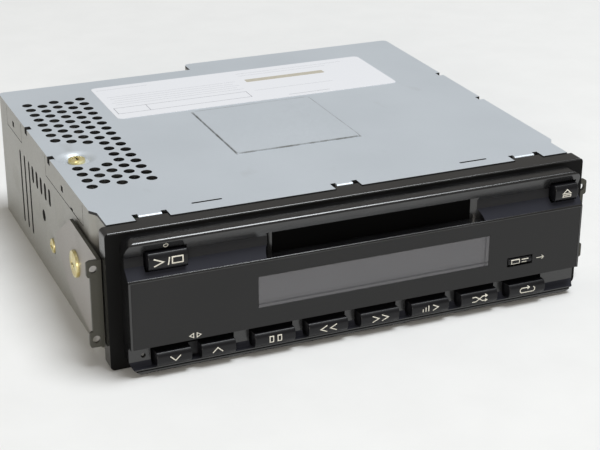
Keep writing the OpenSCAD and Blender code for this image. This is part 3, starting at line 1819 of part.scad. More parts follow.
chassis();
top_cover();
rating_label();
front_frame();
display_plate();
display_window();
lcd_glass();
lcd_holder();
key_board();
key_board_screws();
key_switches();
power_key();
eject_key();
display_key();
track_rocker();
pause_key();
rewind_key();
forward_key();
scan_key();
random_key();
repeat_key();
reset_plunger();
slot_flap();
left_bracket();
right_bracket();
bracket_screws();
cover_screw();
side_screws();
frame_screws();
deck_frame();
damper_posts();
dampers();
damper_screws();
cam_slide();
cartridge_holder();
eject_slider();
loading_motor();
motor_pinion();
loading_gear();
gear_pin();
spindle_motor();
turntable();
pickup_sled();
objective_lens();
guide_rods();
feed_screw();
feed_motor();
main_board();
board_screws();
board_chips();
capacitors();
heat_sink();
regulators();
front_ribbon();
deck_ribbon();
harness_socket();
audio_jacks();
rear_stud();
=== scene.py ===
import json
import math

import bmesh
import bpy
from mathutils import Matrix, Vector

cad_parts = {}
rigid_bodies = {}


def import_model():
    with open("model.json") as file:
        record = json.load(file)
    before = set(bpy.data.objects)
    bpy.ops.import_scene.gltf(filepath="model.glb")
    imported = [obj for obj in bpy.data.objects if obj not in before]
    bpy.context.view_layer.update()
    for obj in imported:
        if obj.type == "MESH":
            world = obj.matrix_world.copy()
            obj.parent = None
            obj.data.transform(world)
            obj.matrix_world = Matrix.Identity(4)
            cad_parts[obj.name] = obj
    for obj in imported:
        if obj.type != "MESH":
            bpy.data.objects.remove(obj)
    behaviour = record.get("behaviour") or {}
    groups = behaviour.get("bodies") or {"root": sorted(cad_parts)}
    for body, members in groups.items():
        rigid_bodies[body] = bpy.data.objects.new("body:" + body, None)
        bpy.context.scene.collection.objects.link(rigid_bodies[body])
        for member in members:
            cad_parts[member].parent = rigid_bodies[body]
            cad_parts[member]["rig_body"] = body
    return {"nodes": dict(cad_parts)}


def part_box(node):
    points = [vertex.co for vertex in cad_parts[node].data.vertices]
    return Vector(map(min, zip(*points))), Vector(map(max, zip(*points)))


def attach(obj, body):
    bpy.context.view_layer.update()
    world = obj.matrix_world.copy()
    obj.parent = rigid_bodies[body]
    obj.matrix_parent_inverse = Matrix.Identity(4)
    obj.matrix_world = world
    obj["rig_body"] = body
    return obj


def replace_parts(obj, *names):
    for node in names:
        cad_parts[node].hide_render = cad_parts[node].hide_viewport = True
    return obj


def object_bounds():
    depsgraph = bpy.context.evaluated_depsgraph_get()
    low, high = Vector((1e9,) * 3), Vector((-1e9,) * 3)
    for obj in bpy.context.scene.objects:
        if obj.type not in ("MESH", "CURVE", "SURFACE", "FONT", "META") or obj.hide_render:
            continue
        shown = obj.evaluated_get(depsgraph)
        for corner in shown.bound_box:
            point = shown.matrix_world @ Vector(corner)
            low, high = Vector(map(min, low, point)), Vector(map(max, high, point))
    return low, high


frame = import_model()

solid_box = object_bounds()

# Case tub
# The tray that carries the whole player: floor, side walls and rear wall folded from one
# blank of zinc plated sheet steel, with punched vent slots, pressed dimples and bosses.
MM = 0.001


def linear(tone):
    """A tone of 0 to 255, as seen, in the linear light that a shader works in."""
    return [c / 255 / 12.92 if c <= 10 else ((c / 255 + 0.055) / 1.055) ** 2.4 for c in tone]


def new_finish(name, tone, roughness, metallic=0.0, **sockets):
    """A finish with its even values on the shader's own sockets."""
    skin = bpy.data.materials.new(name)
    skin.use_nodes = True
    shader = skin.node_tree.nodes["Principled BSDF"]
    shader.inputs["Base Color"].default_value = (*linear(tone), 1)
    shader.inputs["Roughness"].default_value = roughness
    shader.inputs["Metallic"].default_value = metallic
    for socket, value in sockets.items():
        shader.inputs[socket.replace("_", " ")].default_value = value
    return skin


def wire(skin, kind, **sockets):
    """A node with its inputs set or linked by name."""
    node = skin.node_tree.nodes.new(kind)
    for name, value in sockets.items():
        socket = node.inputs[name.replace("_", " ")]
        if isinstance(value, bpy.types.NodeSocket):
            skin.node_tree.links.new(value, socket)
        else:
            socket.default_value = value
    return node


def feed(skin, socket, source):
    """Links a source to one socket of the finish's shader."""
    skin.node_tree.links.new(source, skin.node_tree.nodes["Principled BSDF"].inputs[socket])


def cloud(skin, scale, detail=3.0, stretch=(1, 1, 1)):
    """Soft noise fixed to the piece, with its scale in waves per metre."""
    spot = wire(skin, "ShaderNodeTexCoord").outputs["Object"]
    spot = wire(skin, "ShaderNodeMapping", Vector=spot, Scale=stretch).outputs["Vector"]
    return wire(skin, "ShaderNodeTexNoise", Vector=spot, Scale=scale, Detail=detail).outputs[0]


def range_of(skin, source, start, end, low, high):
    """Maps start..end of a source to low..high."""
    return wire(skin, "ShaderNodeMapRange", Value=source, From_Min=start, From_Max=end,
                To_Min=low, To_Max=high).outputs["Result"]


def two_tone(skin, factor, first, second):
    """A colour that goes from the first tone to the second with the factor."""
    mix = skin.node_tree.nodes.new("ShaderNodeMix")
    mix.data_type = "RGBA"
    skin.node_tree.links.new(factor, mix.inputs[0])
    for socket, tone in ((mix.inputs[6], first), (mix.inputs[7], second)):
        if isinstance(tone, bpy.types.NodeSocket):
            skin.node_tree.links.new(tone, socket)
        else:
            socket.default_value = (*linear(tone), 1)
    return mix.outputs[2]


def bumped(skin, height, depth):
    """Adds a relief of that depth in metres on top of any relief the finish has."""
    shader = skin.node_tree.nodes["Principled BSDF"]
    bump = wire(skin, "ShaderNodeBump", Height=height, Distance=depth)
    if shader.inputs["Normal"].is_linked:
        below = shader.inputs["Normal"].links[0].from_socket
        skin.node_tree.links.new(below, bump.inputs["Normal"])
    feed(skin, "Normal", bump.outputs["Normal"])


def mottled(skin, source, start, end, first, second):
    """Colours a finish from the first tone to the second as a source goes from start to end."""
    share = range_of(skin, source, start, end, 0, 1)
    feed(skin, "Base Color", two_tone(skin, share, first, second))


def zinc(name, pale, dull, stain, metallic):
    """Zinc plating: broad cloudy patches, a fine spangle and a few rubbed stains."""
    skin = new_finish(name, pale, 0.45, metallic)
    patches = range_of(skin, cloud(skin, 22, 5), 0.35, 0.65, 0, 1)
    stains = range_of(skin, cloud(skin, 70, 8, (1, 0.5, 0.5)), 0.64, 0.8, 0, 0.5)
    spangle = cloud(skin, 1600, 2)
    feed(skin, "Base Color", two_tone(skin, stains, two_tone(skin, patches, pale, dull), stain))
    feed(skin, "Roughness", range_of(skin, spangle, 0.3, 0.7, 0.38, 0.52))
    bumped(skin, spangle, 0.004 * MM)
    return skin


def into_scene(name, data):
    """A new object in the scene, made of a mesh, a lamp or a camera."""
    thing = bpy.data.objects.new(name, data)
    bpy.context.scene.collection.objects.link(thing)
    return thing


def place(name, mesh, body, slot, *skins):
    """Puts a mesh into the scene as a piece that rides on a body."""
    piece = into_scene(name, mesh)
    for skin in skins:
        mesh.materials.append(skin)
    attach(piece, body)
    return piece


def round_edges(piece, edge, steps=2, fold=30):
    """Rounds every edge that folds by more than the given angle."""
    rounding = piece.modifiers.new("edges", "BEVEL")
    rounding.width = edge * MM
    rounding.segments = steps
    rounding.angle_limit = math.radians(fold)
    rounding.harden_normals = True


def rounded(name, node, slot, skin, edge, steps=2, fold=30):
    """Stands for one solid: the same shape with its edges rounded."""
    solid = frame["nodes"][node]
    shape = bmesh.new()
    shape.from_mesh(solid.data)
    bmesh.ops.remove_doubles(shape, verts=shape.verts, dist=0.001 * MM)
    bmesh.ops.dissolve_limit(shape, angle_limit=math.radians(0.3), verts=shape.verts,
                             edges=shape.edges)
    for side in shape.faces:
        side.smooth = True
    for line in shape.edges:
        line.smooth = True
    mesh = bpy.data.meshes.new(name)
    shape.to_mesh(mesh)
    shape.free()
    for leftover in ("custom_normal", "sharp_face"):
        if leftover in mesh.attributes:
            mesh.attributes.remove(mesh.attributes[leftover])
    mesh.materials.clear()
    mesh.shade_smooth()
    piece = place(name, mesh, solid["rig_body"], slot, skin)
    round_edges(piece, edge, steps, fold)
    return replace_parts(piece, node)


def repainted(piece, skin, chosen):
    """Gives faces another finish, chosen by their middle in millimetres and their normal."""
    piece.data.materials.append(skin)
    for side in piece.data.polygons:
        if chosen(side.center / MM, side.normal):
            side.material_index = len(piece.data.materials) - 1


def softened(piece, edge, steps, chosen, limited=True):
    """Rounds edges by more, chosen by their middle in millimetres, and keeps flats flat."""
    shape = bmesh.new()
    shape.from_mesh(piece.data)
    lines = [e for e in shape.edges if chosen((e.verts[0].co + e.verts[1].co) / 2 / MM)]
    bmesh.ops.bevel(shape, geom=lines, offset=edge * MM, segments=steps, profile=0.5,
                    affect="EDGES", clamp_overlap=limited, material=0)
    for side in shape.faces:
        side.smooth = True
    shape.to_mesh(piece.data)
    shape.free()
    if "flats" not in piece.modifiers:
        piece.modifiers.new("flats", "WEIGHTED_NORMAL").weight = 90


DATUM = -73.2  # front edge of the case, from which lengths towards the rear are counted
WALL_IN, WALL_OUT = 88, 89
RELIEFS_Y, RELIEF_HALF, RELIEF_FLOOR = (66.8, 101), 1.75, 47.4
HOLES_Y, HOLES_Z = (20, 145), (6, 46)
JOGGLE_BENDS = ((89, 14), (87, 11))


def in_relief(spot):
    """Is a point in one of the small bend reliefs along the top of a side wall?"""
    along = min(abs(spot.y - DATUM - y) for y in RELIEFS_Y)
    return abs(spot.x) > 86 and spot.z > RELIEF_FLOOR and along < RELIEF_HALF


def in_wall_hole(spot, way):
    """Is a face part of the cut wall of a vent slot or hole in a side wall?"""
    in_sheet = WALL_IN < abs(spot.x) < WALL_OUT and abs(way.x) < 0.3
    in_zone = HOLES_Y[0] < spot.y - DATUM < HOLES_Y[1] and HOLES_Z[0] < spot.z < HOLES_Z[1]
    return in_sheet and in_zone


def on_joggle(spot):
    """Is an edge one of the two bends by which a side wall steps inwards near its front end?"""
    bends = (abs(abs(spot.x) - x) < 0.5 and abs(spot.y - y - DATUM) < 1 for x, y in JOGGLE_BENDS)
    return 20 < spot.z < 30 and any(bends)


def sheared_steel_and_shade(name):
    """Raw sheared edge of sheet steel, dull and finely streaked, made dark also as painted shade in
    holes, notches and gaps.
    """
    skin = new_finish(name, (44, 44, 45), 0.5, 0.4)
    streaks = cloud(skin, 900, 3, (1, 1, 4))
    mottled(skin, streaks, 0.3, 0.7, (38, 38, 39), (54, 54, 54))
    bumped(skin, streaks, 0.01 * MM)
    return skin


# The tub's zinc is painted darker and warmer than the cover's: painted shade and painted warm floor
# reflection on the walls that face sideways.
tub_zinc_shaded = zinc("tub_zinc_shaded", (166, 165, 160), (159, 158, 152), (136, 132, 124), 0.4)
cut_edge_and_shade = sheared_steel_and_shade("cut_edge_and_shade")
tub = rounded("case_tub", "chassis", "zinc_steel", tub_zinc_shaded, 0.2)
# Painted shade: the walls of the vent slots and holes, and the bend reliefs with their floors, take
# the dark cut edge finish so that they read black.
repainted(tub, cut_edge_and_shade, lambda spot, way: in_relief(spot) or in_wall_hole(spot, way))
softened(tub, 1.2, 4, on_joggle)

# Main board with its parts
# Green glass-fibre board on six bosses of the floor, with flat chips, sleeved capacitors and
# two power regulators clamped to a finned aluminium bar on the rear wall.
def board_green(name):
    """Solder mask with buried copper tracks and a slight orange peel."""
    skin = new_finish(name, (38, 96, 58), 0.4)
    spot = wire(skin, "ShaderNodeTexCoord").outputs["Object"]
    bricks = wire(skin, "ShaderNodeTexBrick", Vector=spot, Scale=160.0, Mortar_Size=0.05)
    tracks = bricks.outputs["Fac"]
    feed(skin, "Base Color", two_tone(skin, tracks, (36, 92, 55), (62, 128, 74)))
    bumped(skin, tracks, 0.03 * MM)
    bumped(skin, cloud(skin, 900, 2), 0.01 * MM)
    return skin


def flecked(name, tone, fleck, roughness, metallic=0.0, scale=500, depth=0.008, **sockets):
    """An even moulded or turned finish with a fine fleck, in colour and in relief."""
    skin = new_finish(name, tone, roughness, metallic, **sockets)
    grain = cloud(skin, scale, 3)
    mottled(skin, grain, 0.35, 0.65, tone, fleck)
    feed(skin, "Roughness", range_of(skin, grain, 0.3, 0.7, roughness - 0.06, roughness + 0.06))
    bumped(skin, grain, depth * MM)
    return skin


green_board = board_green("green_board")
bright_steel = flecked("bright_steel", (176, 178, 182), (160, 162, 166), 0.3, 0.9, 900)
chip_black = flecked("chip_black", (30, 30, 31), (38, 38, 38), 0.55)
rounded("main_board_piece", "main_board", "circuit_board", green_board, 0.08)
rounded("board_screws_piece", "board_screws", "plain_steel", bright_steel, 0.2)
rounded("chips", "board_chips", "switch_plastic", chip_black, 0.25)
rounded("regulator_pair", "regulators", "switch_plastic", chip_black, 0.25)

sleeve_blue = flecked("sleeve_blue", (34, 40, 82), (40, 46, 92), 0.3)
rounded("capacitor_row", "capacitors", "capacitor_sleeve", sleeve_blue, 0.6, 3)

sink_bar = new_finish("sink_bar", (196, 198, 200), 0.38, 0.85)
drawn = cloud(sink_bar, 300, 3, (8, 8, 0.4))
mottled(sink_bar, drawn, 0.3, 0.7, (200, 202, 204), (178, 180, 183))
bumped(sink_bar, drawn, 0.02 * MM)
rounded("sink_bar_piece", "heat_sink", "sink_aluminium", sink_bar, 0.3)

# Rear sockets and stud
# Harness socket and two turned audio jacks through the deep half of the rear wall, and a
# threaded steel stud for the support strap, clamped by its nut on the shallow half.
def circle(radius, height, around):
    """Points of a ring about +Z."""
    turns = [2 * math.pi * k / around for k in range(around)]
    return [(radius * math.cos(a), radius * math.sin(a), height) for a in turns]


def skinned(shape, loops):
    """Joins a stack of rings of vertices into a skin that is closed at both ends."""
    around = len(loops[0])
    for low, high in zip(loops, loops[1:]):
        for k in range(around):
            shape.faces.new((low[k], low[(k + 1) % around], high[(k + 1) % around], high[k]))
    shape.faces.new(list(reversed(loops[0])))
    shape.faces.new(loops[-1])


def turned(shape, rings, around=40):
    """Adds a turned form about +Z from its (radius, height) rings."""
    skinned(shape, [[shape.verts.new(p) for p in circle(r, z, around)] for r, z in rings])


def threaded(shape, radius, start, end, pitch, depth, hand=1):
    """Adds a screw thread about +Z, right-handed when hand is 1."""
    around, per_turn = 28, 8
    rows = int((end - start) / pitch * per_turn)
    loops = []
    for i in range(rows + 1):
        height = start + (end - start) * i / rows
        fade = min(1, i / per_turn, (rows - i) / per_turn)
        loop = []
        for k in range(around):
            phase = (height / pitch - hand * k / around) % 1
            cut = depth * (1 - abs(2 * phase - 1))
            r = radius - depth + (depth - cut) * fade
            a = 2 * math.pi * k / around
            loop.append(shape.verts.new((r * math.cos(a), r * math.sin(a), height)))
        loops.append(loop)
    skinned(shape, loops)


def to_mesh(name, shape, turn=None):
    """Finishes a mesh in millimetres: turned into place, scaled to metres and shaded smooth."""
    if turn:
        bmesh.ops.transform(shape, matrix=turn, verts=shape.verts)
    bmesh.ops.scale(shape, vec=(MM, MM, MM), verts=shape.verts)
    bmesh.ops.recalc_face_normals(shape, faces=shape.faces)
    mesh = bpy.data.meshes.new(name)
    shape.to_mesh(mesh)
    shape.free()
    mesh.shade_smooth()
    return mesh


socket_black = flecked("socket_black", (26, 26, 27), (33, 33, 33), 0.5)
jack_gold = flecked("jack_gold", (206, 170, 96), (190, 152, 80), 0.25, 0.95, 700)
rounded("harness_socket_piece", "harness_socket", "switch_plastic", socket_black, 0.3)
rounded("jack_pair", "audio_jacks", "jack_brass", jack_gold, 0.35, 3)

STUD_L, STUD_R, STUD_PITCH, STUD_CUT = 14, 2.5, 0.8, 0.45
NUT = ((2.6, 0), (3.9, 0), (4.45, 0.5), (4.45, 3), (3.9, 3.5), (2.6, 3.5))
STUD_HEAD = ((2.4, -4), (4.6, -4), (5, -3.6), (5, -1.2), (4.8, -1.0), (2.4, -1.0))
low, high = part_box("rear_stud")
stud_foot = ((low.x + high.x) / 2 / MM, high.y / MM - STUD_L, (low.z + high.z) / 2 / MM)
stud = bmesh.new()
threaded(stud, STUD_R, 3, STUD_L, STUD_PITCH, STUD_CUT)
turned(stud, NUT, 6)
turned(stud, STUD_HEAD)
toward_rear = Matrix.Translation(stud_foot) @ Matrix.Rotation(math.radians(-90), 4, "X")
stud_mesh = to_mesh("stud_with_nut", stud, toward_rear)
stud_piece = place("stud_with_nut", stud_mesh, "case", "plain_steel", bright_steel)
round_edges(stud_piece, 0.12)
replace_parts(stud_piece, "rear_stud")

# Deck posts and dampers
# Four turned posts riveted to the floor carry the deck in soft rubber grommets, each held
# down by a washer-head screw.
rubber = flecked("damper_rubber_finish", (32, 32, 32), (40, 40, 40), 0.8, scale=800)
rounded("posts", "damper_posts", "plain_steel", bright_steel, 0.2)
rounded("grommets", "dampers", "damper_rubber", rubber, 0.6, 3)
rounded("grommet_screws", "damper_screws", "plain_steel", bright_steel, 0.2)

# Deck with its spindle, pickup and loading drive
# Pressed steel plate with guide walls, cam slide and cartridge holder; flat spindle motor,
# pickup sled on two ground rods with its feed screw, and the geared loading motor.
deck_zinc = zinc("deck_zinc", (170, 172, 174), (160, 162, 164), (138, 136, 130), 0.6)
sheet_bright = zinc("sheet_bright", (182, 184, 187), (172, 174, 177), (150, 149, 144), 0.6)
gear_white = flecked("gear_white", (222, 218, 204), (212, 207, 192), 0.45)
sled_black = flecked("sled_black", (44, 44, 47), (52, 52, 55), 0.5)
can_steel = flecked("can_steel", (172, 173, 176), (158, 159, 163), 0.32, 0.85, 600)
rounded("deck_plate", "deck_frame", "deck_steel", deck_zinc, 0.15)
rounded("cam_slide_piece", "cam_slide", "deck_steel", sheet_bright, 0.12)
rounded("holder", "cartridge_holder", "deck_steel", sheet_bright, 0.15)
rounded("eject_catch", "eject_slider", "gear_plastic", gear_white, 0.2)
rounded("loading_motor_can", "loading_motor", "plain_steel", can_steel, 0.5, 3)
rounded("motor_pinion_piece", "motor_pinion", "gear_plastic", gear_white, 0.06)
rounded("loading_gear_piece", "loading_gear", "gear_plastic", gear_white, 0.06)
rounded("gear_pin_piece", "gear_pin", "plain_steel", bright_steel, 0.15)
rounded("spindle_motor_can", "spindle_motor", "plain_steel", can_steel, 0.5, 3)
rounded("turntable_piece", "turntable", "switch_plastic", sled_black, 0.3, 3)
rounded("pickup_sled_piece", "pickup_sled", "pickup_plastic", sled_black, 0.3)
rounded("rods", "guide_rods", "plain_steel", bright_steel, 0.2)
rounded("feed_motor_can", "feed_motor", "plain_steel", can_steel, 0.4, 3)

lens_skin = new_finish("lens_skin", (176, 190, 214), 0.05, Transmission_Weight=0.6, Coat_Weight=0.5)
lens_bloom = cloud(lens_skin, 400, 1)
feed(lens_skin, "Base Color", two_tone(lens_skin, lens_bloom, (166, 182, 214), (196, 190, 226)))
rounded("lens", "objective_lens", "lens_glass", lens_skin, 0.2, 3)

FEED_R, FEED_PITCH, FEED_CUT = 1.5, 2.0, 0.35
JOURNAL_L, JOURNAL_R, JOURNAL_TIP, CHAMFER = 4, 1.35, 1.2, 0.2
low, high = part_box("feed_screw")
feed_l = (high.x - low.x) / MM
feed_end = (low.x / MM, (low.y + high.y) / 2 / MM, (low.z + high.z) / 2 / MM)
screw_shape = bmesh.new()
threaded(screw_shape, FEED_R, JOURNAL_L, feed_l - JOURNAL_L, FEED_PITCH, FEED_CUT, hand=-1)
for start, end in ((0, JOURNAL_L + 0.2), (feed_l - JOURNAL_L - 0.2, feed_l)):
    turned(screw_shape, ((JOURNAL_TIP, start), (JOURNAL_R, start + CHAMFER),
                         (JOURNAL_R, end - CHAMFER), (JOURNAL_TIP, end)), 28)
along_x = Matrix.Translation(feed_end) @ Matrix.Rotation(math.radians(90), 4, "Y")
feed_mesh = to_mesh("feed_screw_piece", screw_shape, along_x)
feed_piece = place("feed_screw_piece", feed_mesh, "feed_screw", "plain_steel", bright_steel)
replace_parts(feed_piece, "feed_screw")

# Flat cables
# Thin laminated films with parallel copper strips: one from the key board down to the main
# board, one hanging in a loop below the deck.
film = new_finish("cable_film", (206, 206, 202), 0.4)
spot = wire(film, "ShaderNodeTexCoord").outputs["Object"]
strips = wire(film, "ShaderNodeTexWave", Vector=spot, Scale=300.0).outputs["Fac"]
feed(film, "Base Color", two_tone(film, strips, (208, 208, 204), (176, 172, 160)))
bumped(film, strips, 0.02 * MM)
rounded("front_cable", "front_ribbon", "ribbon_film", film, 0.04)
rounded("deck_cable", "deck_ribbon", "ribbon_film", film, 0.04)

# Key board and push switches
# Narrow glass-fibre board screwed to four posts inside the nose, with a moulded push switch
# soldered on behind each key.
switch_grey = flecked("switch_grey", (52, 52, 54), (60, 60, 62), 0.5)
rounded("key_board_piece", "key_board", "circuit_board", green_board, 0.08)
rounded("key_board_screws_piece", "key_board_screws", "plain_steel", bright_steel, 0.15)
rounded("switches", "key_switches", "switch_plastic", switch_grey, 0.2)

# Front frame
# One black moulding: the rim round the case, the nose with its two coves, the disc mouth and
# the key openings. Its rim face is a darker copy of the black as painted shade, its coves
# lighter copies as painted light, and its lips are polished by handling.
def satin_black(name, tone, fleck, roughness, **sockets):
    """Satin moulded plastic: a fine spark-eroded grain with faint cloudy wear."""
    skin = new_finish(name, tone, roughness, **sockets)
    grain = cloud(skin, 2600, 2)
    wear = cloud(skin, 45, 5)
    mottled(skin, wear, 0.35, 0.7, tone, fleck)
    feed(skin, "Roughness", range_of(skin, wear, 0.3, 0.7, roughness - 0.05, roughness + 0.06))
    bumped(skin, grain, 0.004 * MM)
    return skin


RIM_FACE = -6.5
COVE_SLOPE = ((-15.5, -11.3), (34, 42))
COVE_WALL = ((-11.6, -11.2), (36, 46))
LOW_COVE = ((-14.3, -8), (2.5, 6))
HANDLED = ((-6.5, 49.7), (-15.4, 35.4))


def in_band(spot, band):
    """Is a point in a band that runs across the front, by its y from the datum and its z?"""
    (front, rear), (low, high) = band
    return front < spot.y - DATUM < rear and low < spot.z < high


def on_handled_lip(spot):
    """Is an edge one of the two long lips that hands touch: rim top and nose lip?"""
    return any(math.hypot(spot.y - DATUM - y, spot.z - z) < 0.05 for y, z in HANDLED)


frame_black = satin_black("frame_black", (16, 16, 17), (21, 21, 22), 0.22, Specular_IOR_Level=0.9)
rim_face_painted_shade = satin_black("rim_face_painted_shade", (10, 10, 10), (13, 13, 13), 0.55, Specular_IOR_Level=0.12)
cove_painted_sky_light = satin_black("cove_painted_sky_light", (36, 37, 44), (41, 42, 49), 0.6, Specular_IOR_Level=0.1)
cove_wall_painted_reflection = satin_black("cove_wall_painted_reflection", (29, 29, 31), (33, 33, 35), 0.5, Specular_IOR_Level=0.25)
moulding = rounded("nose_and_rim", "front_frame", "black_plastic", frame_black, 0.25, 3)
# Painted shade: the rim's front face takes a darker, duller copy of the black.
repainted(moulding, rim_face_painted_shade,
          lambda spot, way: abs(spot.y - DATUM - RIM_FACE) < 0.1 and way.y < -0.9)
# Painted sky light: the upward slope of the upper cove takes a lighter, bluer, duller copy of the
# black.
repainted(moulding, cove_painted_sky_light, lambda spot, way: in_band(spot, COVE_SLOPE) and 0.5 < way.z < 0.95)
# Painted reflection: the front-facing wall of the upper cove takes a lighter, duller copy of the
# black.
repainted(moulding, cove_wall_painted_reflection, lambda spot, way: in_band(spot, COVE_WALL) and way.y < -0.8)
# Painted sky light: the floor of the lower cove takes the same lighter, bluer copy.
repainted(moulding, cove_painted_sky_light, lambda spot, way: in_band(spot, LOW_COVE) and way.z > 0.3)
softened(moulding, 0.5, 4, on_handled_lip, limited=False)
moulding.modifiers["edges"].material = 0

# Display
# Grey liquid crystal glass on its holder, behind a flat dark plate and a clear window that
# is set flush into it.
holder_white = flecked("holder_white", (222, 222, 218), (212, 212, 208), 0.5)
rounded("glass_holder", "lcd_holder", "white_plastic", holder_white, 0.2)

glass_low, glass_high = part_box("lcd_glass")
BORDER_RIGHT, BORDER_BELOW, BORDER_W = 2.9 * MM, 2.7 * MM, 0.4 * MM


def maths(skin, operation, first, second=0.0):
    """One sum on two sources or numbers."""
    node = skin.node_tree.nodes.new("ShaderNodeMath")
    node.operation = operation
    for socket, value in zip(node.inputs, (first, second)):
        if isinstance(value, bpy.types.NodeSocket):
            skin.node_tree.links.new(value, socket)
        else:
            socket.default_value = value
    return node.outputs[0]


def away_from(skin, axis, at):
    """How far a point of the piece lies from a place on one axis, in metres."""
    spot = wire(skin, "ShaderNodeTexCoord").outputs["Object"]
    along = wire(skin, "ShaderNodeSeparateXYZ", Vector=spot).outputs[axis]
    return maths(skin, "ABSOLUTE", maths(skin, "SUBTRACT", along, at))


def thin_line(skin, axis, at):
    """A mask of 1 on a thin line across one axis."""
    return range_of(skin, away_from(skin, axis, at), BORDER_W / 2, BORDER_W, 1, 0)


def ruled(skin, tone):
    """A tone with thin dark lines where the picture of the glass ends, at its right and below."""
    border = maths(skin, "MAXIMUM", thin_line(skin, "X", glass_high.x - BORDER_RIGHT),
                   thin_line(skin, "Z", glass_low.z + BORDER_BELOW))
    border = maths(skin, "MULTIPLY", border, 0.7)
    feed(skin, "Base Color", two_tone(skin, border, tone, (62, 62, 66)))


display_grey = new_finish("display_grey", (120, 120, 124), 0.3)
haze = range_of(display_grey, cloud(display_grey, 30, 3), 0.3, 0.7, 0, 1)
glass_tone = two_tone(display_grey, haze, (117, 117, 121), (122, 122, 126))
ruled(display_grey, glass_tone)
bumped(display_grey, cloud(display_grey, 1500, 1), 0.002 * MM)
rounded("display_glass_piece", "lcd_glass", "display_glass", display_grey, 0.1)

plate_dark = satin_black("plate_dark", (22, 22, 23), (26, 26, 27), 0.42, Specular_IOR_Level=0.38)
rounded("face_plate_piece", "display_plate", "face_plate", plate_dark, 0.12)

clear_sheet = new_finish("clear_sheet", (112, 112, 116), 0.2, Alpha=0.6)
sheet_haze = cloud(clear_sheet, 60, 2)
ruled(clear_sheet, two_tone(clear_sheet, sheet_haze, (110, 110, 114), (114, 114, 118)))
rounded("window_sheet", "display_window", "clear_window", clear_sheet, 0.08)

# Keys with their printed marks
# Crowned black push keys and the track rocker, moulded with a flange that keeps them in the
# frame. Their marks are pad-printed off-white signs; the plate and nose carry three more.
PAINT = 0.03
CROWN = 1.1
PLATE_FRONT = 15.4

key_black = satin_black("key_black", (15, 15, 18), (19, 19, 22), 0.33, Specular_IOR_Level=0.32)
ink = flecked("sign_ink", (222, 219, 208), (206, 203, 192), 0.6, scale=1200)


def crown(z0, height, front):
    """The crowned face of a key: its y for a given z."""
    return lambda x, z: -front + CROWN * abs(2 * (z - z0) / height - 1) ** 3


def thick_lines(strokes, width, face):
    """Lines of one width laid on a face: each stroke is a run of (x, z) points in millimetres."""
    shape = bmesh.new()
    for stroke in strokes:
        closed = stroke[0] == stroke[-1]
        points = [Vector(p) for p in stroke]
        sides = []
        for i, point in enumerate(points):
            before = points[i - 1] if i else (points[-2] if closed else None)
            after = points[i + 1] if i + 1 < len(points) else (points[1] if closed else None)
            ways = [(b - a).normalized() for a, b in ((before, point), (point, after)) if a and b]
            across = sum((Vector((-w.y, w.x)) for w in ways), Vector((0, 0))).normalized()
            sides.append(across * width / 2 / max(0.4, across.dot(Vector((-ways[0].y, ways[0].x)))))
        rungs = []
        for i in range(len(points) - 1):
            steps = max(1, math.ceil((points[i + 1] - points[i]).length / 0.3))
            for k in range(steps + (i == len(points) - 2)):
                t = k / steps
                middle = points[i].lerp(points[i + 1], t)
                side = sides[i].lerp(sides[i + 1], t)
                rung = []
                for p in (middle - side, middle + side):
                    rung.append(shape.verts.new((p.x, face(p.x, p.y) + DATUM, p.y)))
                rungs.append(rung)
        for a, b in zip(rungs, rungs[1:]):
            shape.faces.new((a[0], b[0], b[1], a[1]))
    return shape


def printed(name, strokes, width, middle, face, body):
    """A printed sign about a middle point, riding on the body it is printed on."""
    moved = [[(x + middle[0], z + middle[1]) for x, z in stroke] for stroke in strokes]
    shape = thick_lines(moved, width, face)
    bmesh.ops.scale(shape, vec=(MM, MM, MM), verts=shape.verts)
    mesh = bpy.data.meshes.new(name)
    shape.to_mesh(mesh)
    shape.free()
    piece = place(name, mesh, body, "white_plastic", ink)
    film = piece.modifiers.new("film", "SOLIDIFY")
    film.thickness = PAINT * MM
    film.offset = -1
    return piece


def key(node, face, strokes, width, shift=(0, 0)):
    """One key cap, set back by the thickness of its paint, with its sign."""
    cap = rounded(node + "_cap", node, "key_plastic", key_black, 0.32, 4)
    cap.data.transform(Matrix.Translation((0, PAINT * MM, 0)))
    printed(node + "_sign", strokes, width, shift, face, node)


def box_sign(w, h):
    """The outline of a rectangle, as one closed stroke."""
    return [(-w / 2, -h / 2), (w / 2, -h / 2), (w / 2, h / 2), (-w / 2, h / 2), (-w / 2, -h / 2)]


def moved_by(stroke, x, z=0.0):
    """A stroke set over to another place."""
    return [(p + x, q + z) for p, q in stroke]


def mirrored(stroke):
    """A stroke with its left and right swapped."""
    return [(-x, z) for x, z in stroke]


def plate_face(x, z):
    """The flat front of the display plate."""
    return -PLATE_FRONT - PAINT


def cove_face(x, z):
    """The wall above the power key, which leans forward as it rises."""
    return -11.4 - PAINT - 2 * (z - 42.3) / 4.5


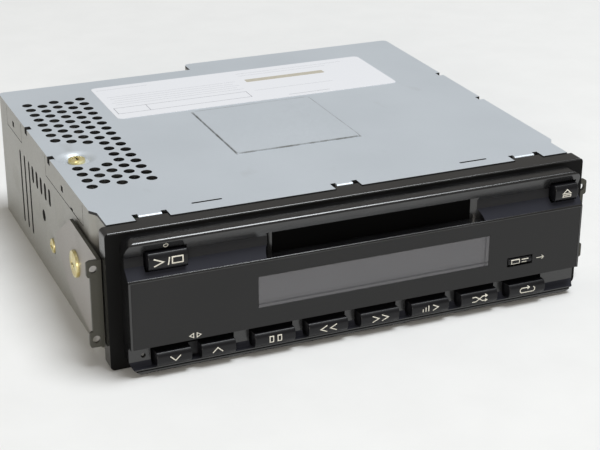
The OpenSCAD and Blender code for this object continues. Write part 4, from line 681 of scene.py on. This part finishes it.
ROW_FIRST, ROW_PITCH, ROW_Z = -34.7, 19.64, 6.2
SIGN_LINE, PLATE_LINE = 0.34, 0.26
DOWN_X, UP_X, TRACK_Z = -70.3, -55.5, 12.6
POWER_X, EJECT_X, TOP_Z = -71.2, 78.2, 40.8
DISPLAY_X, SCROLL_X, DISPLAY_Z = 60.2, 68.6, 17.75
row_face = crown(3.7, 5, 16.6)
top_face = crown(37.9, 6, 15.2)
small_face = crown(16.3, 2.9, 15.7)
left_arrow = [(1.2, 1.15), (-1.2, 0), (1.2, -1.15)]
right_arrow = mirrored(left_arrow)
row_signs = {
    "pause_key": [moved_by(box_sign(1.3, 2.1), s * 1.45) for s in (-1, 1)],
    "rewind_key": [moved_by(left_arrow, s * 1.8) for s in (-1, 1)],
    "forward_key": [moved_by(right_arrow, s * 1.8) for s in (-1, 1)],
    "scan_key": [[(-3, -1), (-3, 0.2)], [(-1.9, -1), (-1.9, 0.7)], [(-0.8, -1), (-0.8, 1.2)],
                 [(0.9, 1.1), (3, 0.1), (0.9, -1)]],
    "random_key": [[(-3, 0.9), (-1.5, 0.9), (1.2, -0.9), (2.9, -0.9)],
                   [(-3, -0.9), (-1.5, -0.9), (1.2, 0.9), (2.9, 0.9)],
                   [(2.2, 1.45), (3, 0.9), (2.2, 0.35)], [(2.2, -0.35), (3, -0.9), (2.2, -1.45)]],
    "repeat_key": [[(0.8, 0.9), (-2.4, 0.9), (-3, 0.4), (-3, -0.4), (-2.4, -0.9), (2.4, -0.9),
                    (3, -0.4), (3, 0.4), (2.4, 0.9)], [(0, 1.5), (0.8, 0.9), (0, 0.3)]],
}
for i, (node, strokes) in enumerate(row_signs.items()):
    key(node, row_face, strokes, SIGN_LINE, (ROW_FIRST + ROW_PITCH * i, ROW_Z))

down_arrow = [(-1.8, 0.85), (0, -0.85), (1.8, 0.85)]
up_arrow = [(x, -z) for x, z in down_arrow]
key("track_rocker", row_face, [moved_by(down_arrow, DOWN_X), moved_by(up_arrow, UP_X)],
    SIGN_LINE, (0, ROW_Z))
key("power_key", top_face, [[(-4.9, 1.4), (-1.7, 0.1), (-4.9, -1.2)], [(0.4, 1.45), (-0.1, -1.3)],
                            moved_by(box_sign(3.6, 2.2), 3.1, 0.2)], 0.42, (POWER_X, TOP_Z))
key("eject_key", top_face, [[(-1.6, 0.1), (0, 1.5), (1.6, 0.1), (-1.6, 0.1)],
                            moved_by(box_sign(3.2, 0.7), 0, -0.85)], SIGN_LINE, (EJECT_X, TOP_Z))
key("display_key", small_face, [moved_by(box_sign(3.2, 1.5), -1.9), [(0.6, 0.55), (3.4, 0.55)],
                                [(0.6, -0.45), (2.6, -0.45)]], 0.3, (DISPLAY_X, DISPLAY_Z))

RING_R = 0.72
ring_turns = [math.radians(40 + 280 * k / 24) for k in range(25)]
ring = [(RING_R * math.sin(a), RING_R * math.cos(a)) for a in ring_turns]
left_tip = [(-0.6, 0.8), (-2, 0), (-0.6, -0.8), (-0.6, 0.8)]
arrow = [[(-1.5, 0), (1.5, 0)], [(0.6, 0.7), (1.5, 0), (0.6, -0.7)]]
printed("power_sign", [ring, [(0, 0.15), (0, 0.95)]], 0.24, (POWER_X, 45.55), cove_face, "case")
printed("track_sign", [left_tip, mirrored(left_tip)], PLATE_LINE,
        ((DOWN_X + UP_X) / 2, TRACK_Z), plate_face, "case")
printed("scroll_sign", arrow, PLATE_LINE, (SCROLL_X, DISPLAY_Z), plate_face, "case")

plunger_grey = flecked("plunger_grey", (120, 120, 120), (108, 108, 108), 0.4)
rounded("reset_pin", "reset_plunger", "switch_plastic", plunger_grey, 0.15)

# Dust flap
# Thin moulded black flap that hangs across the disc tunnel on two end pins and swings in and
# up before a cartridge.
flap_black_shaded = satin_black("flap_black_shaded", (3, 3, 3), (5, 5, 5), 0.7, Specular_IOR_Level=0.03)
# Partly painted shade: the flap is black plastic, made almost perfectly black and without gloss for
# the shade inside the disc mouth.
rounded("dust_flap", "slot_flap", "black_plastic", flap_black_shaded, 0.2)

# Top cover
# Zinc plated sheet steel lid with folded side flaps, a raised square, a dish for its screw,
# five columns of vent holes and front notches that catch the frame's tongues.
LID_TOP, LID_UNDER, LID_FRONT = 50, 49, 3
PAD_Y, PAD_EDGE = 44.6 + 49.4 / 2 + DATUM, 24.75
DISH_X, DISH_Y, DISH_R = -79.5, 63.2 + DATUM, 6.5


def on_lid_top(spot):
    """Is an edge in the upper face of the cover?"""
    return spot.z > LID_TOP - 0.1


def on_dish_rim(spot):
    """Is an edge the rim of the dish?"""
    return on_lid_top(spot) and abs(math.hypot(spot.x - DISH_X, spot.y - DISH_Y) - DISH_R) < 0.1


def on_front_bend(spot):
    """Is an edge the bend along the front of the cover?"""
    return on_lid_top(spot) and abs(spot.y - LID_FRONT - DATUM) < 0.05


def is_flap_face(spot, way):
    """Is a face the outer or inner face of a side flap?"""
    return abs(spot.x) > WALL_IN + 0.4 and abs(way.x) > 0.9 and spot.z < LID_UNDER


def is_cut_face(spot, way):
    """Is a face the sheared wall of a hole or notch in the cover, or the edge of a side flap?"""
    in_plate = abs(way.z) < 0.5 and LID_UNDER - 0.05 < spot.z < LID_TOP - 0.01
    on_flap = abs(spot.x) > WALL_IN - 0.5 and spot.z < LID_UNDER - 0.05 and abs(way.x) < 0.5
    return in_plate or on_flap


# The cover's zinc is painted lighter and bluer than the tub's: painted sky light on the upward
# face.
cover_zinc_sky_lit = zinc("cover_zinc_sky_lit", (208, 215, 222), (203, 210, 217), (181, 184, 185), 0.4)
# Darker in patches along the edge of the raised square, towards a dull grey.
from_middle = maths(cover_zinc_sky_lit, "MAXIMUM", away_from(cover_zinc_sky_lit, "X", 0.0),
                    away_from(cover_zinc_sky_lit, "Y", PAD_Y * MM))
from_edge = maths(cover_zinc_sky_lit, "ABSOLUTE", maths(cover_zinc_sky_lit, "SUBTRACT", from_middle, PAD_EDGE * MM))
pad_edge_darkening = maths(cover_zinc_sky_lit, "MULTIPLY", range_of(cover_zinc_sky_lit, from_edge, 0.1 * MM, 0.5 * MM, 0.75, 0),
              range_of(cover_zinc_sky_lit, cloud(cover_zinc_sky_lit, 160, 6), 0.35, 0.6, 0.25, 1))
shader = cover_zinc_sky_lit.node_tree.nodes["Principled BSDF"]
undarkened_tone = shader.inputs["Base Color"].links[0].from_socket
feed(cover_zinc_sky_lit, "Base Color", two_tone(cover_zinc_sky_lit, pad_edge_darkening, undarkened_tone, (104, 102, 96)))

lid = rounded("cover", "top_cover", "zinc_steel", cover_zinc_sky_lit, 0.15)
softened(lid, 1.3, 5, on_dish_rim)
softened(lid, 1.0, 4, on_front_bend)
# Painted shade: the side flaps, folded from the same sheet as the top, take the tub's darker zinc
# because they face sideways.
repainted(lid, tub_zinc_shaded, is_flap_face)
# Painted shade: the walls of the cover's holes and notches and the edges of its flaps take the dark
# cut edge finish so that they read black.
repainted(lid, cut_edge_and_shade, is_cut_face)

# Rating label
# Coated white paper label with round corners, stuck on the cover, with hair-thin ruled lines
# and a plain tan strip.
def round_corners(x0, x1, y0, y1, r):
    """Outline of a rectangle with round corners, in millimetres from the datum."""
    corners = ((x1 - r, y0 + r, 270), (x1 - r, y1 - r, 0), (x0 + r, y1 - r, 90),
               (x0 + r, y0 + r, 180))
    turns = [(x, y, math.radians(a + 18 * k)) for x, y, a in corners for k in range(6)]
    return [(x + r * math.cos(a), y + r * math.sin(a)) for x, y, a in turns]


def slab(shape, outline, z0, z1):
    """Adds a flat slab of that outline between two heights."""
    low, high = ([shape.verts.new((x, y + DATUM, z)) for x, y in outline] for z in (z0, z1))
    shape.faces.new(list(reversed(low)))
    shape.faces.new(high)
    for k in range(len(outline)):
        shape.faces.new((low[k - 1], low[k], high[k], high[k - 1]))


def flat_piece(name, outlines, z0, z1, skin):
    """Flat slabs of one finish as one piece of the label."""
    shape = bmesh.new()
    for outline in outlines:
        slab(shape, outline, z0, z1)
    mesh = to_mesh(name, shape)
    mesh.shade_flat()
    return place(name, mesh, "case", "label_paper", skin)


LABEL_EDGES, LABEL_CORNER = (-53.5, 66.5, 97.5, 137.5), 2.2
PAPER_TOP, RULES_TOP, STRIP_TOP = 50.12, 50.13, 50.14
paper = flecked("label_white", (226, 227, 231), (224, 225, 229), 0.55, scale=900, depth=0.001)
paper_shape = round_corners(*LABEL_EDGES, LABEL_CORNER)
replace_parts(flat_piece("label", [paper_shape], LID_TOP, PAPER_TOP, paper), "rating_label")

HAIR = 0.14
TABLE_X, TABLE_Y = (-51.7, -38.6, 4), (103.1, 110)
lines = [(-52, -30.5, 133.6), (8.3, 56.6, 133), (8.3, 48, 130.2), (8, 42.7, 110)]
lines += [(-50.4 + 0.8 * (k % 3), 4.7 - 2 * (k % 2), 123.8 - 2.5 * k) for k in range(5)]
bold_lines = [(19, 37, 100)] + [(TABLE_X[0], 4.2, y) for y in TABLE_Y]
rules = [(x0, x1, y, y + HAIR) for x0, x1, y in lines]
rules += [(x0, x1, y, y + 2 * HAIR) for x0, x1, y in bold_lines]
rules += [(x, x + 2 * HAIR, TABLE_Y[0], 110.2) for x in TABLE_X]
rule_shapes = [round_corners(*rule, 0.05) for rule in rules]
rule_grey = flecked("rule_grey", (150, 151, 156), (164, 165, 170), 0.6, scale=2000, depth=0.0)
flat_piece("label_rules", rule_shapes, PAPER_TOP, RULES_TOP, rule_grey)
strip_tan = flecked("strip_tan", (190, 184, 170), (182, 176, 161), 0.5, scale=700, depth=0.001)
strip_shape = round_corners(9, 44.2, 121.4, 124.9, 0.6)
flat_piece("label_strip", [strip_shape], PAPER_TOP, STRIP_TOP, strip_tan)

# Brackets
# Two pressed steel brackets with an outward flange and two ears, one on each side wall, in a
# dull olive passivated finish.
olive = zinc("bracket_olive", (164, 160, 156), (157, 153, 148), (134, 129, 122), 0.4)
olive_edges_and_shade = zinc("bracket_dark_olive", (74, 73, 66), (66, 65, 58), (54, 52, 46), 0.5)
FLANGE_Y = -0.9
for side in ("left", "right"):
    bracket = rounded(side + "_bracket_piece", side + "_bracket", "bracket_steel", olive, 0.15)
    # Painted shade: every face that does not face sideways, the cut edges and the front flange with
    # its ears, takes a much darker copy of the olive; on the punched edges it also gives their
    # darker raw cut.
    repainted(bracket, olive_edges_and_shade, lambda spot, way: abs(way.x) < 0.7 or spot.y - DATUM < FLANGE_Y)

# Outside screws
# Cross-head machine screws, yellow passivated with an iridescent bloom: large flat heads on
# the brackets, pan heads in the cover's dish, in the dimples and behind the brackets.
passivated = new_finish("yellow_passivated", (222, 212, 162), 0.3, 0.6)
bloom = range_of(passivated, cloud(passivated, 420, 3), 0.35, 0.6, 0, 1)
warm = two_tone(passivated, bloom, (228, 219, 172), (210, 192, 128))
tint = range_of(passivated, cloud(passivated, 300, 2), 0.55, 0.7, 0, 0.6)
feed(passivated, "Base Color", two_tone(passivated, tint, warm, (178, 184, 130)))
bumped(passivated, cloud(passivated, 1800, 2), 0.004 * MM)
# The cross recesses are painted dark brown: partly the passivation's own tint, partly painted shade
# in the recess.
recess_tint_and_shade = flecked("recess_tint_and_shade", (74, 52, 34), (48, 40, 30), 0.5, 0.3, 900)


def cross_head(shape, spot, axis, radius, height, dome, shank_r, shank_l, cross=0.62):
    """Adds one screw: a domed head with a cross recess and a shank that points against the axis."""
    around, rings = 72, 26
    rim_drop, tip = 0.3, 0.3
    reach = cross * radius
    arm_half, arm_wall, sink = 0.26 * reach, 0.08 * reach, 0.55 * height
    put = Matrix.Translation(spot) @ Vector(axis).to_track_quat("Z", "Y").to_matrix().to_4x4()
    loops = []
    sunk = set()
    for i in range(1, rings + 1):
        r = radius * i / rings
        loop = []
        for x, y, z in circle(r, height - dome * (r / radius) ** 2, around):
            if i == rings:
                z = height - dome - rim_drop
            near, far = sorted((abs(x), abs(y)))
            depth = 0
            if far < reach:
                depth = min(1, max(0, (arm_half - near) / arm_wall))
                z -= sink * depth * (1 - 0.6 * (far / reach) ** 2)
            loop.append(shape.verts.new(put @ Vector((x, y, z))))
            if depth > 0.3:
                sunk.add(loop[-1])
        loops.append(loop)
    for r, z in ((radius, 0), (shank_r, 0), (shank_r, tip - shank_l), (shank_r * 0.8, -shank_l)):
        loops.append([shape.verts.new(put @ Vector(p)) for p in circle(r, z, around)])
    middle = shape.verts.new(put @ Vector((0, 0, height - sink)))
    for k in range(around):
        shape.faces.new((middle, loops[0][k], loops[0][(k + 1) % around]))
        for inner, outer in zip(loops, loops[1:]):
            ring = (inner[k], outer[k], outer[(k + 1) % around], inner[(k + 1) % around])
            shape.faces.new(ring).material_index = int(all(v in sunk for v in ring))
    shape.faces.new(loops[-1])


def screws(name, node, places, *sizes):
    """The screws of one node as one piece: places are (spot, axis) in millimetres."""
    shape = bmesh.new()
    for spot, axis in places:
        cross_head(shape, spot, axis, *sizes)
    piece = place(name, to_mesh(name, shape), "case", "gold_screw", passivated, recess_tint_and_shade)
    round_edges(piece, 0.12, fold=50)
    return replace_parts(piece, node)


def on_both_sides(x, y, z):
    """The same place on the left and the right wall, each with its way out."""
    return [((s * x, y + DATUM, z), (s, 0, 0)) for s in (-1, 1)]


PAN_HEAD = (2.8, 1.5, 0.5, 1.5)
DISH_HEAD = (3.1, 1.8, 0.6, 1.5)
FLAT_HEAD = (4.9, 1.4, 0.35, 2.5)
screws("cover_screw_piece", "cover_screw", [((DISH_X, DISH_Y, 48.4), (0, 0, 1))], *DISH_HEAD, 4)
screws("bracket_screw_pair", "bracket_screws", on_both_sides(91.2, 26.1, 26), *FLAT_HEAD, 6.2, 0.4)
screws("side_screw_pair", "side_screws", on_both_sides(88.2, 68.8, 14.6), *PAN_HEAD, 3)
screws("frame_screw_pair", "frame_screws", on_both_sides(87, 6.5, 22.5), *PAN_HEAD, 5)

# Floor, light and camera
# A pale paper sheet, a broad soft lamp high above, a weak warm fill lamp low at the front left
# and an even sky. The camera stands at the photograph's place, with a long lens.
sheet = bmesh.new()
bmesh.ops.create_grid(sheet, x_segments=8, y_segments=8, size=4)
floor_mesh = bpy.data.meshes.new("floor")
sheet.to_mesh(floor_mesh)
sheet.free()
floor = into_scene("floor", floor_mesh)
floor_paper = flecked("floor_paper", (234, 234, 233), (231, 231, 230), 0.8, scale=40, depth=0.0)
floor_mesh.materials.append(floor_paper)
floor.location.z = solid_box[0].z


def disk_lamp(name, size, watts, tint, spot):
    """A round soft lamp that points at the middle of the floor."""
    light = bpy.data.lights.new(name, "AREA")
    light.shape = "DISK"
    light.size = size
    light.energy = watts
    light.color = tint
    lamp = into_scene(name, light)
    lamp.location = spot
    lamp.rotation_euler = (-lamp.location).to_track_quat("-Z", "Y").to_euler()


disk_lamp("soft_lamp", 1.5, 72, (0.94, 0.97, 1.0), (0.65, -0.45, 2.75))
disk_lamp("fill_lamp", 0.6, 17, (1.0, 0.94, 0.84), (-0.95, -1.9, 0.5))

world = bpy.data.worlds.new("pale_sky")
bpy.context.scene.world = world
world.use_nodes = True
sky = world.node_tree.nodes["Background"]
sky.inputs["Color"].default_value = (1.0, 0.965, 0.9, 1)
sky.inputs["Strength"].default_value = 0.27

EYE = (-0.2055, -0.5089, 0.2434)
yaw, pitch, roll = (math.radians(a) for a in (23.185, 23.354, 0.199))
ahead = math.cos(pitch)
forward = Vector((math.sin(yaw) * ahead, math.cos(yaw) * ahead, -math.sin(pitch)))
level = Vector((math.cos(yaw), -math.sin(yaw), 0))
above = level.cross(forward)
right = math.cos(roll) * level + math.sin(roll) * above
up = math.cos(roll) * above - math.sin(roll) * level
lens = bpy.data.cameras.new("camera")
lens.lens = 90.5
lens.sensor_width = 36
lens.clip_end = 50
camera = into_scene("camera", lens)
aim = Matrix((right, up, -forward)).transposed().to_4x4()
camera.matrix_world = Matrix.Translation(EYE) @ aim
bpy.context.scene.camera = camera
bpy.context.scene.view_settings.view_transform = "Standard"
